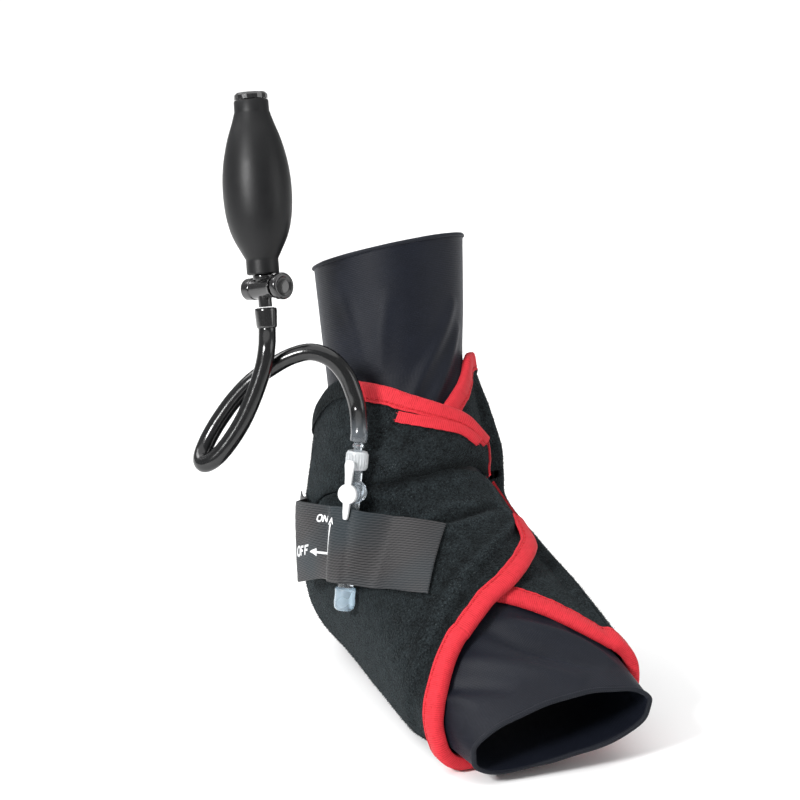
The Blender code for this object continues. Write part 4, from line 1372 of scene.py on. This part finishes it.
@dataclass
class Wrap:
    """The fleece pads and their red bindings."""

    near: tuple[Field, Field] = (sculpted, near_back)
    far: tuple[Field, Field] = (far_face, far_back)
    near_tape: tuple[Field, Field] = (near_face, near_back)
    red_from: float = 0.466
    sole_to: float = 0.345
    nap_length: float = 0.95
    nap_width: float = 0.20
    nap_density: float = 0.75

    def pad(self, quilt: Quilt, nodes: Sequence[str], flap: Flap | None, nap_seed: int, cap: float) -> None:
        """Build a pad, swell it, cover it with nap and attach it to the wrap, or bake it in place when it has a
        flap.

        Args:
            quilt: The pad.
            nodes: What it stands for.
            flap: Its wing's hinge, if it has one; the pad is then baked in place and not attached.
            nap_seed: Seed of its nap.
            cap: How far it may swell, in metres.
        """
        obj, outer, depth = quilt.build()
        puff(obj, outer, depth, cap)
        smooth_over(obj)
        settled(obj)
        nap = bristles(quilt.name + "_nap", obj.data.copy(), Look.NAP, self.nap_density, self.nap_length,
                       self.nap_width, nap_seed, 1.1)
        for piece in (obj, nap):
            if flap:
                flap.attach(piece)
            else:
                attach(piece, "wrap")
        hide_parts(*nodes)
        LOG.info("%s: %d faces, nap %d faces", quilt.name, len(obj.data.polygons), len(nap.data.polygons))

    def pads(self) -> None:
        """All five pads."""
        upper = Quilt("upper_pad", FormLine(((2.42, 212), (2.38, 235), (2.08, 262), (1.93, 283), (2.02, 305))
                                            + UPPER_TOP), FormLine(CREASE_ONE), *self.near)
        below = tuple((u + 0.02, v) for u, v in CREASE_ONE[:-2]) + ((6.05, 394), (6.40, 405))
        lower = Quilt("lower_pad", FormLine(below),
                      FormLine(((9.36, 212), (9.42, 240), (9.22, 285), (8.74, 324)) + PANEL_FOOT + TIP_FOOT),
                      *self.near)
        back = Quilt("back_pad", FormLine(((1.90, 60), (2.10, 100), (2.45, 170), (2.42, 212))),
                     FormLine(((9.15, 60), (9.25, 100), (9.30, 170), (9.36, 212))), *self.near_tape, step=3.0)
        far_upper, far_lower = (
            Quilt(name, FormLine(top), FormLine(foot), *self.far, step=2.4)
            for name, top, foot in (("far_upper_pad", FAR_UPPER_TOP, FAR_UPPER_FOOT),
                                    ("far_lower_pad", FAR_LOWER_TOP, FAR_LOWER_FOOT)))
        self.pad(upper, ("near_upper_wing",), UPPER_FLAP, 11, 1.3)
        self.pad(lower, ("instep_panel", "near_lower_wing"), LOWER_FLAP, 12, 1.2)
        self.pad(back, ("heel_shell",), None, 13, 1.2)
        self.pad(far_upper, ("far_upper_wing",), None, 14, 2.6)
        self.pad(far_lower, ("far_lower_wing",), None, 15, 1.8)

    def tape(self, run: TapeRun, nodes: Sequence[str], place: Flap | str, rows: Sequence[float] = (5.6,)) -> None:
        """Build a tape with its rows of stitches and attach them to a body, or bake them in place on a flap.

        Args:
            run: The tape.
            nodes: What it stands for.
            place: The flap, which only bakes them in place, or the body that it rides on.
            rows: Where its stitches run, in millimetres from its edge.
        """
        pieces = [run.build()]
        if rows:
            thread = stitches(run.name + "_thread", [run.track(row, 1.12) for row in rows], Look.THREAD)
            pieces.append(thread)
        for piece in pieces:
            if isinstance(place, Flap):
                place.attach(piece)
            else:
                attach(piece, place)
        if nodes:
            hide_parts(*nodes)
        LOG.info("%s", run.name)

    def bindings(self) -> None:
        """The folded tapes round every free edge, the second row and the hook tabs."""
        fold = folded_tape()
        near, far = self.near_tape, self.far
        edge_line = FormLine(SHELL_TOP[:-1] + UPPER_TOP)
        top = TapeRun("top_binding", edge_line, fold, near, 1, (self.red_from, 1))
        back = TapeRun("back_top_edge", edge_line, fold, near, 1, (0, self.red_from + 0.004), look=Look.FLEECE)
        self.tape(back, (), "wrap", ())
        foot_line = FormLine(SHELL_FOOT + PANEL_FOOT + TIP_FOOT)
        foot = TapeRun("foot_binding", foot_line, fold, near, -1, (self.sole_to - 0.002, 1))
        self.tape(TapeRun("sole_binding", foot_line, fold, near, -1, (0, self.sole_to)), (), "wrap")
        self.tape(top, ("binding_shell_top", "binding_upper_wing"), UPPER_FLAP)
        self.tape(foot, ("binding_shell_foot", "binding_lower_wing"), LOWER_FLAP)
        self.tape(TapeRun("far_upper_binding", FormLine(((1.87, 62.0),) + FAR_UPPER_TOP[1:]), fold, far, -1),
                  ("binding_far_upper",), "wrap")
        self.tape(TapeRun("far_lower_binding", FormLine(((9.16, 62.0),) + FAR_LOWER_FOOT[1:]), fold, far, 1),
                  ("binding_far_lower",), "wrap")
        edge = TapeRun("edge", FormLine(UPPER_TOP), fold, near, 1)
        t = np.linspace(0.20, 0.93, 7)
        u, v, side = edge.sides(t)
        row = np.stack(FORM.slide(u, v, side, np.linspace(8.3, 5.6, 7)), axis=-1)
        second = TapeRun("second_row", FormLine(tuple(map(tuple, row.tolist()))), FLAT_TAPE, near, 1)
        self.tape(second, ("binding_upper_row_two",), "near_upper_wing", (1.2, 4.8))
        for name, body, line in (("upper_end_edging", "near_upper_wing", UPPER_END),
                                 ("lower_end_edging", "near_lower_wing", LOWER_END)):
            self.tape(TapeRun(name, FormLine(line), EDGING, near, 1), (), body, ())
        for name, node, body, line, section, way in (
                ("upper_hook_tab", "hook_tab_upper", "near_upper_wing", UPPER_TAB, UPPER_HOOK, 1),
                ("lower_hook_tab", "hook_tab_lower", "near_lower_wing", LOWER_TAB, LOWER_HOOK, -1)):
            self.tape(TapeRun(name, FormLine(line), section, near, way, look=Look.HOOK), (node,), body, ())


# ---------------------------------------------------------------- valve, strap and pump

VALVE = Vector((-46.9, 18.1, 108.9))
FACE = Vector((-0.7957, -0.5603, 0.2302))
FLOW = Vector((0.1900, 0.1300, 0.9731))
TEE = Vector((-68.0, 66.0, 203.5))
LINE = Vector((0.1132, 0.3114, 0.9435))
PUSH = Vector((0.2527, -0.9274, 0.2757))


@dataclass
class BridgeStrap:
    """The ribbed strap over the port tube, with printed arrows for the valve."""

    top: FormLine = FormLine(((3.55, 241), (3.80, 258), (4.00, 271), (4.40, 284), (5.08, 296), (5.72, 303),
                              (6.12, 309), (6.40, 319), (6.80, 334), (7.12, 347)))
    foot: FormLine = FormLine(((4.63, 234), (4.95, 245), (5.25, 253), (5.60, 261), (6.15, 272), (6.70, 285),
                               (7.03, 293), (7.28, 301), (7.63, 312), (7.94, 323)))
    lift: float = 1.2
    bulge: float = 11.3
    flank: float = 28.5
    drop: float = 6.0
    stand: float = 0.78
    thick: float = 0.9
    ink: float = 0.14
    stroke: float = 1.05

    def under(self, u: Array, v: Array) -> Array:
        """Inner face: raised over the port tube, and standing off the fleece on the heel's side of it.

        Args:
            u: Stations along the foot.
            v: Angles round it, in degrees.

        Returns:
            Heights over the form, in metres.
        """
        base = FORM.point(u, v, near_face(u, v)) / MM
        start, way = np.array(VALVE), -np.array(FLOW)
        along = np.clip((base - start) @ way, 0, 47)
        gap = np.linalg.norm(base - start - along[..., None] * way, axis=-1)
        rise = ease(1.27 - np.sqrt(np.maximum(gap ** 2 - 36, 0)) / 17)
        side = np.cross(way, np.array(FACE))
        reach = (base - start) @ side
        stand = self.stand * ease((self.flank + self.drop - reach) / self.drop) * (reach > 0)
        return near_face(u, v) + self.lift + 0.5 + self.bulge * np.maximum(rise, stand)

    def over(self, u: Array, v: Array) -> Array:
        """Outer face."""
        return self.under(u, v) + self.thick

    def place(self, along: Array, down: Array, lift: float) -> Array:
        """A point on the strap, from millimetres along it and down from its top edge.

        Args:
            along: Millimetres along the strap.
            down: Millimetres from its top edge.
            lift: Height over its face, in metres.

        Returns:
            The points, in metres.
        """
        t = np.linspace(0, 1, 80)
        u, v = (np.mean(pair, axis=0) for pair in zip(self.top.at(t), self.foot.at(t)))
        steps = np.linalg.norm(np.diff(FORM.point(u, v, self.over(u, v)), axis=0), axis=1)
        run = np.concatenate(([0], np.cumsum(steps))) / MM
        share = np.interp(along, run, t)
        (tu, tv), (fu, fv) = self.top.at(share), self.foot.at(share)
        w = np.asarray(down) / 38.0
        su, sv = tu + (fu - tu) * w, tv + (fv - tv) * w
        return FORM.point(su, sv, self.over(su, sv) + lift)

    def mark(self, a: tuple[float, float], b: tuple[float, float],
             wide: tuple[float, float]) -> bmesh.types.BMesh:
        """One printed stroke from a to b, with its width at each end.

        Args:
            a: Where it starts, in millimetres.
            b: Where it ends.
            wide: Its width at each end.

        Returns:
            The bmesh.
        """
        bm = bmesh.new()
        bmesh.ops.create_cube(bm, size=1)
        long = [e for e in bm.edges if abs(e.verts[0].co.x - e.verts[1].co.x) > 0.5]
        bmesh.ops.subdivide_edges(bm, edges=long, cuts=5)
        way = (Vector(b) - Vector(a)).normalized()
        for vert in bm.verts:
            t = vert.co.x + 0.5
            half = (wide[0] + (wide[1] - wide[0]) * t) * vert.co.y
            spot = Vector(a).lerp(Vector(b), t) + Vector((-way.y, way.x)) * half
            vert.co = self.place(spot.x, spot.y, self.ink * (vert.co.z + 0.5) + 0.01)
        bmesh.ops.recalc_face_normals(bm, faces=bm.faces)
        if bm.calc_volume(signed=True) < 0:
            bmesh.ops.reverse_faces(bm, faces=bm.faces)
        return bm

    def print_marks(self, corner: tuple[float, float] = (66.0, 26.5)) -> bpy.types.Object:
        """Up and left arrows with plain ON and OFF letters.

        Args:
            corner: Where the two arrows meet, in millimetres along and down.

        Returns:
            The object.
        """
        x, y = corner
        pen = (self.stroke, self.stroke)
        upright = (1.6 * self.stroke, 1.6 * self.stroke)
        strokes = [((x, y + 0.5), (x, y - 15.5), upright), ((x, y - 15.0), (x, y - 19.2), (5.6, 0.4)),
                   ((x + 0.5, y), (x - 10.4, y), pen), ((x - 10.0, y), (x - 15.4, y), (4.0, 0.25))]
        letters = {"O": [((0.3, 0.9), (0.3, 3.1)), ((0.3, 3.1), (1.1, 3.9)), ((1.1, 3.9), (1.9, 3.9)),
                         ((1.9, 3.9), (2.7, 3.1)), ((2.7, 3.1), (2.7, 0.9)), ((2.7, 0.9), (1.9, 0.1)),
                         ((1.9, 0.1), (1.1, 0.1)), ((1.1, 0.1), (0.3, 0.9))],
                   "N": [((0.3, 4), (0.3, 0)), ((0.3, 0.2), (2.5, 3.8)), ((2.5, 4), (2.5, 0))],
                   "F": [((0.3, 4), (0.3, 0)), ((0.1, 0.3), (2.3, 0.3)), ((0.1, 2.0), (1.9, 2.0))]}
        for word, wx, wy in (("ON", x - 12.6, y - 20.5), ("OFF", x - 28.6, y - 3.2)):
            for k, letter in enumerate(word):
                for (ax, ay), (bx, by) in letters[letter]:
                    left = wx + k * 4.3
                    strokes.append(((left + ax * 1.25, wy + ay), (left + bx * 1.25, wy + by), (0.9, 0.9)))
        return moulded("strap_print", [self.mark(*stroke) for stroke in strokes], Look.PRINT)

    def dress(self) -> None:
        """Build the strap and its print."""
        quilt = Quilt("bridge_strap_webbing", self.top, self.foot, self.over, self.under, step=1.3, rim=0.7,
                      look=Look.WEBBING)
        strap, _, _ = quilt.build()
        marks = self.print_marks()
        for piece in (strap, marks):
            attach(piece, "wrap")
        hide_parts("bridge_strap")
        LOG.info("strap with arrows")


def smooth_profile(points: Sequence[tuple[float, float]], count: int) -> list[tuple[float, float]]:
    """A turned profile made smooth through its points."""
    rows = blend_rows(np.array(points, float), np.linspace(0, len(points) - 1, count))
    return [tuple(row) for row in rows.tolist()]


@dataclass
class Stopcock:
    """The clear stopcock on the wrap, its white lever, the port tube's end and the ribbed collar."""

    ribs: int = 22
    collar: Line = ((3.75, 11.4), (4.9, 11.4), (5.3, 12.2), (5.3, 19.2), (4.6, 20.4), (2.5, 20.4), (2.5, 19.5),
                    (3.75, 19.5))

    def dress(self) -> None:
        """Build the pieces on the wrap and on the pump's end."""
        flow = axis_matrix(VALVE, FLOW)
        face = axis_matrix(VALVE, FACE, FLOW.cross(FACE))
        body = moulded("stopcock_moulding", [
            turned(((0, -10), (2.9, -10), (3.3, -9.4), (3.3, 16.4), (2.9, 17), (2.3, 17), (2.3, 9.5),
                    (0, 9.5)), flow),
            turned(((0, -4.6), (4.7, -4.6), (5.3, -4.0), (5.3, 4.8), (4.7, 5.4), (0, 5.4)), face)], Look.CLEAR)
        cap = moulded("port_end_moulding", [
            turned(((0, -46.9), (4.6, -46.9), (5.2, -47.8), (5.0, -52), (5.2, -54), (4.9, -56.9), (3.6, -58.2),
                    (0, -58.2)), flow, soft=0.6)], Look.FROST)
        lever = moulded("lever_moulding", [
            turned(((0, 6.2), (4.3, 6.2), (4.9, 6.6), (4.9, 8.3), (4.4, 8.8), (2.6, 8.8), (2.3, 8.4),
                    (0, 8.4)), face),
            plate(((-1.5, 2), (-1.9, 9), (-2.5, 14.2), (-2.0, 16.0), (-1.0, 16.5), (1.0, 16.5), (2.0, 16.0),
                   (2.5, 14.2), (1.9, 9), (1.5, 2)), 6.6, 8.6, face),
            plate(((-1.8, -2), (-1.5, -9), (-1.1, -12.0), (-0.6, -12.5), (0.6, -12.5), (1.1, -12.0), (1.5, -9),
                   (1.8, -2)), 6.6, 8.6, face, 0.4)], Look.LEVER)
        collar = moulded("collar_moulding", [turned(self.collar, flow, closed=True, soft=0.25)], Look.COLLAR)
        ribs = rib_ring("collar_ribs", self.ribs, 5.25, (0.5, 0.55, 6.6), 15.8, flow, Look.COLLAR)
        for piece, host, node, slot in ((body, "wrap", "stopcock_body", "clear_plastic"),
                                        (cap, "wrap", "port_end_cap", "clear_plastic"),
                                        (lever, "stopcock_lever", "stopcock_lever", "white_plastic"),
                                        (collar, "luer_collar", "luer_collar", "clear_plastic")):
            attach(piece, host)
            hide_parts(node)
        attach(ribs, "luer_collar")
        LOG.info("stopcock, lever and collar")


@dataclass
class Pump:
    """The hose, the T valve with its release button, and the squeeze bulb."""

    radius: float = 4.25
    length: float = 0.2264
    route: tuple[tuple[float, float, float], ...] = (
        (-38.2, 28.5, 146.7), (-38.8, 31.5, 154.7), (-40.8, 35.6, 163.2), (-45.8, 40.9, 170.6),
        (-53.0, 47.3, 173.5), (-61.0, 53.3, 170.9), (-69.0, 58.6, 165.3), (-77.4, 63.4, 158.3),
        (-85.4, 67.0, 149.3), (-92.0, 68.8, 140.7), (-97.6, 69.4, 132.9), (-102.4, 68.0, 126.3),
        (-105.4, 64.8, 122.7), (-106.0, 60.6, 121.9), (-103.6, 57.0, 124.1), (-99.6, 54.8, 128.3),
        (-94.4, 53.2, 134.9), (-89.0, 52.2, 142.9), (-84.2, 52.0, 151.5), (-79.8, 52.4, 160.3),
        (-76.0, 53.2, 168.9), (-73.2, 55.0, 177.1))
    bulb: Line = ((7.9, 14), (10, 18), (13.4, 25), (15.6, 33), (16.6, 42), (16.6, 52), (15.4, 62), (13, 72),
                  (10.2, 80), (8.5, 85.5))
    wall: float = 1.9

    def hose(self) -> None:
        """The hose, laid on its route."""
        start, end = VALVE + FLOW * 25.4, TEE - LINE * 9.6
        rows = [start, VALVE + FLOW * 30, *map(Vector, self.route), TEE - LINE * 21, TEE - LINE * 15, end]
        table = np.array([tuple(row) for row in rows])
        points = blend_rows(table, np.linspace(0, len(table) - 1, (len(table) - 1) * 6 + 1)) * MM
        curve = bpy.data.curves.new("hose", "CURVE")
        curve.dimensions = "3D"
        curve.bevel_depth = self.radius * MM
        curve.bevel_resolution = 6
        curve.use_fill_caps = True
        spline = curve.splines.new("POLY")
        spline.points.add(len(points) - 1)
        for point, place in zip(spline.points, points):
            point.co = (*place, 1)
        spline.use_smooth = True
        curve.materials.append(finish_of(Look.HOSE))
        obj = bpy.data.objects.new("pump_hose", curve)
        bpy.context.scene.collection.objects.link(obj)
        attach(obj, "pump")
        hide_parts("hose")
        LOG.info("hose")

    def dress(self) -> None:
        """Build the valve, the button and the bulb."""
        line, push = axis_matrix(TEE, LINE), axis_matrix(TEE, PUSH)
        tee = moulded("tee_valve_moulding", [
            turned(((0, -12), (4.6, -12), (5.5, -11.2), (5.5, -6.5), (5.1, -6), (5.1, 7.4), (5.5, 7.9),
                    (5.5, 8.5), (3.0, 8.5), (3.0, 3.8), (0, 3.8)), push),
            turned(((0, 0), (3.9, 0), (3.9, 4), (5.2, 4), (5.2, 6.2), (3.9, 6.4), (3.9, 15), (0, 15)), line),
            turned(((0, -9.2), (3.3, -9.2), (3.3, 0), (0, 0)), line)], Look.VALVE)
        cuff = moulded("cuff_moulding", [
            turned(((4.35, -19.5), (4.7, -19.5), (5.0, -18.6), (5.5, -11.0), (5.3, -9.8), (4.35, -9.8)), line,
                   closed=True)], Look.VALVE)
        button = moulded("button_moulding", [
            turned(((0, 6.2), (1.8, 6.2), (1.8, 10.8), (5.8, 10.8), (6.6, 11.6), (6.6, 13.9), (5.9, 14.8),
                    (4.9, 14.9), (3.8, 14.0), (0, 13.7)), push)], Look.VALVE)
        curve = smooth_profile(self.bulb, 44)
        outer = [(7.3, 6.6), (7.9, 7.2), (7.9, 13.2), *curve, (8.4, 90.4), (8.0, 91)]
        inner = [(max(r - self.wall, 4.2), z) for r, z in reversed(curve)]
        wall = [*outer, (5.2, 91), (5.0, 88.5), *inner[:-2], (4.2, 15.4), (4.2, 6.6)]
        bulb = moulded("bulb_moulding", [turned(wall, line, closed=True, soft=0.0, steps=72)], Look.BULB)
        for piece, host, node, slot in ((tee, "pump", "tee_valve_body", "valve_plastic"),
                                        (cuff, "pump", "hose_cuff", "valve_plastic"),
                                        (button, "release_button", "release_button", "valve_plastic"),
                                        (bulb, "pump", "squeeze_bulb", "bulb_rubber")):
            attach(piece, host)
            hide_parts(node)
        LOG.info("T valve, button and bulb")


CARRIED = {"wrap_lining": Look.LINING, "gel_pad_outer": Look.GEL, "gel_pad_inner": Look.GEL,
           "air_bladder": Look.BLADDER, "port_tube": Look.CLEAR, "luer_fitting": Look.CLEAR,
           "button_spring": Look.STEEL, "outlet_check_disc": Look.SEAL, "intake_check_disc": Look.SEAL,
           "intake_valve_seat": Look.VALVE}


def dress_carried() -> None:
    """Give the carried-over parts their finishes."""
    for name, look in CARRIED.items():
        obj = bpy.data.objects[name]
        for slot in obj.material_slots:
            slot.material = finish_of(look)
        if not obj.material_slots:
            LOG.warning("%s has no slot", name)


# ---------------------------------------------------------------- studio


@dataclass
class Studio:
    """Camera, floor and lights."""

    target: tuple[float, float, float] = (0.0, -0.020, 0.0630)
    distance: float = 1.4
    azimuth: float = -32.0
    elevation: float = 23.0
    lens: float = 129.15
    pan: float = -3.51
    tilt: float = 8.37

    def camera(self) -> None:
        """A long lens from the front and outer side."""
        az, el = math.radians(self.azimuth), math.radians(self.elevation)
        back = Vector((math.sin(az) * math.cos(el), -math.cos(az) * math.cos(el), math.sin(el)))
        look = -back
        right = look.cross(Vector((0, 0, 1))).normalized()
        up = right.cross(look)
        aim = (look * self.lens + right * self.pan + up * self.tilt).normalized()
        turn = look.rotation_difference(aim)
        data = bpy.data.cameras.new("Camera")
        data.lens = self.lens
        data.sensor_width = 36.0
        data.clip_start = 0.05
        camera = bpy.data.objects.new("Camera", data)
        base = Matrix((right, up, back)).transposed()
        camera.matrix_world = Matrix.Translation(Vector(self.target) + back * self.distance) @ (
            turn.to_matrix() @ base).to_4x4()
        bpy.context.scene.collection.objects.link(camera)
        bpy.context.scene.camera = camera

    def light(self, name: str, place: Sequence[float], size: float, power: float) -> None:
        """An area light aimed at the wrap."""
        data = bpy.data.lights.new(name, "AREA")
        data.shape = "DISK"
        data.size = size
        data.energy = power
        lamp = bpy.data.objects.new(name, data)
        lamp.location = place
        aim = Vector((-0.02, 0.02, 0.12)) - Vector(place)
        lamp.rotation_euler = aim.to_track_quat("-Z", "Y").to_euler()
        bpy.context.scene.collection.objects.link(lamp)

    def dress(self) -> None:
        """Floor, world and lamps."""
        bm = bmesh.new()
        bmesh.ops.create_grid(bm, x_segments=2, y_segments=2, size=6)
        bmesh.ops.translate(bm, verts=bm.verts, vec=(0, 0, -0.0006))
        mesh = bpy.data.meshes.new("floor")
        bm.to_mesh(mesh)
        bm.free()
        floor = bpy.data.objects.new("floor", mesh)
        bpy.context.scene.collection.objects.link(floor)
        desk = Desk("pale_floor")
        mesh.materials.append(desk.dress(base_color=desk.ramp(desk.noise(3, 2), ((0.3, (0.93, 0.93, 0.93)),
                                                                                 (0.7, (0.95, 0.95, 0.95)))),
                                         roughness=0.75))
        world = bpy.data.worlds.new("Studio")
        world.use_nodes = True
        world.node_tree.nodes["Background"].inputs["Color"].default_value = (1.0, 1.0, 1.0, 1.0)
        world.node_tree.nodes["Background"].inputs["Strength"].default_value = 0.40
        bpy.context.scene.world = world
        bpy.context.scene.view_settings.view_transform = "Standard"
        self.light("softbox", (0.0, 0.6, 3.0), 6.0, 118)
        self.light("key", (-1.2, -0.4, 0.9), 0.35, 24)
        self.light("fill", (0.9, -0.9, 0.6), 0.8, 4)
        self.light("rim", (-0.5, 0.9, 1.0), 0.6, 5)


def main() -> None:
    """Dress the whole wrap, one sub-assembly at a time."""
    logging.basicConfig(level=logging.INFO, format="%(message)s")
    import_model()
    Studio().camera()
    pump = Pump()
    pump.hose()
    Undersleeve().dress()
    wrap = Wrap()
    wrap.pads()
    wrap.bindings()
    BridgeStrap().dress()
    Stopcock().dress()
    pump.dress()
    dress_carried()
    Studio().dress()


if __name__ == "__main__":
    main()
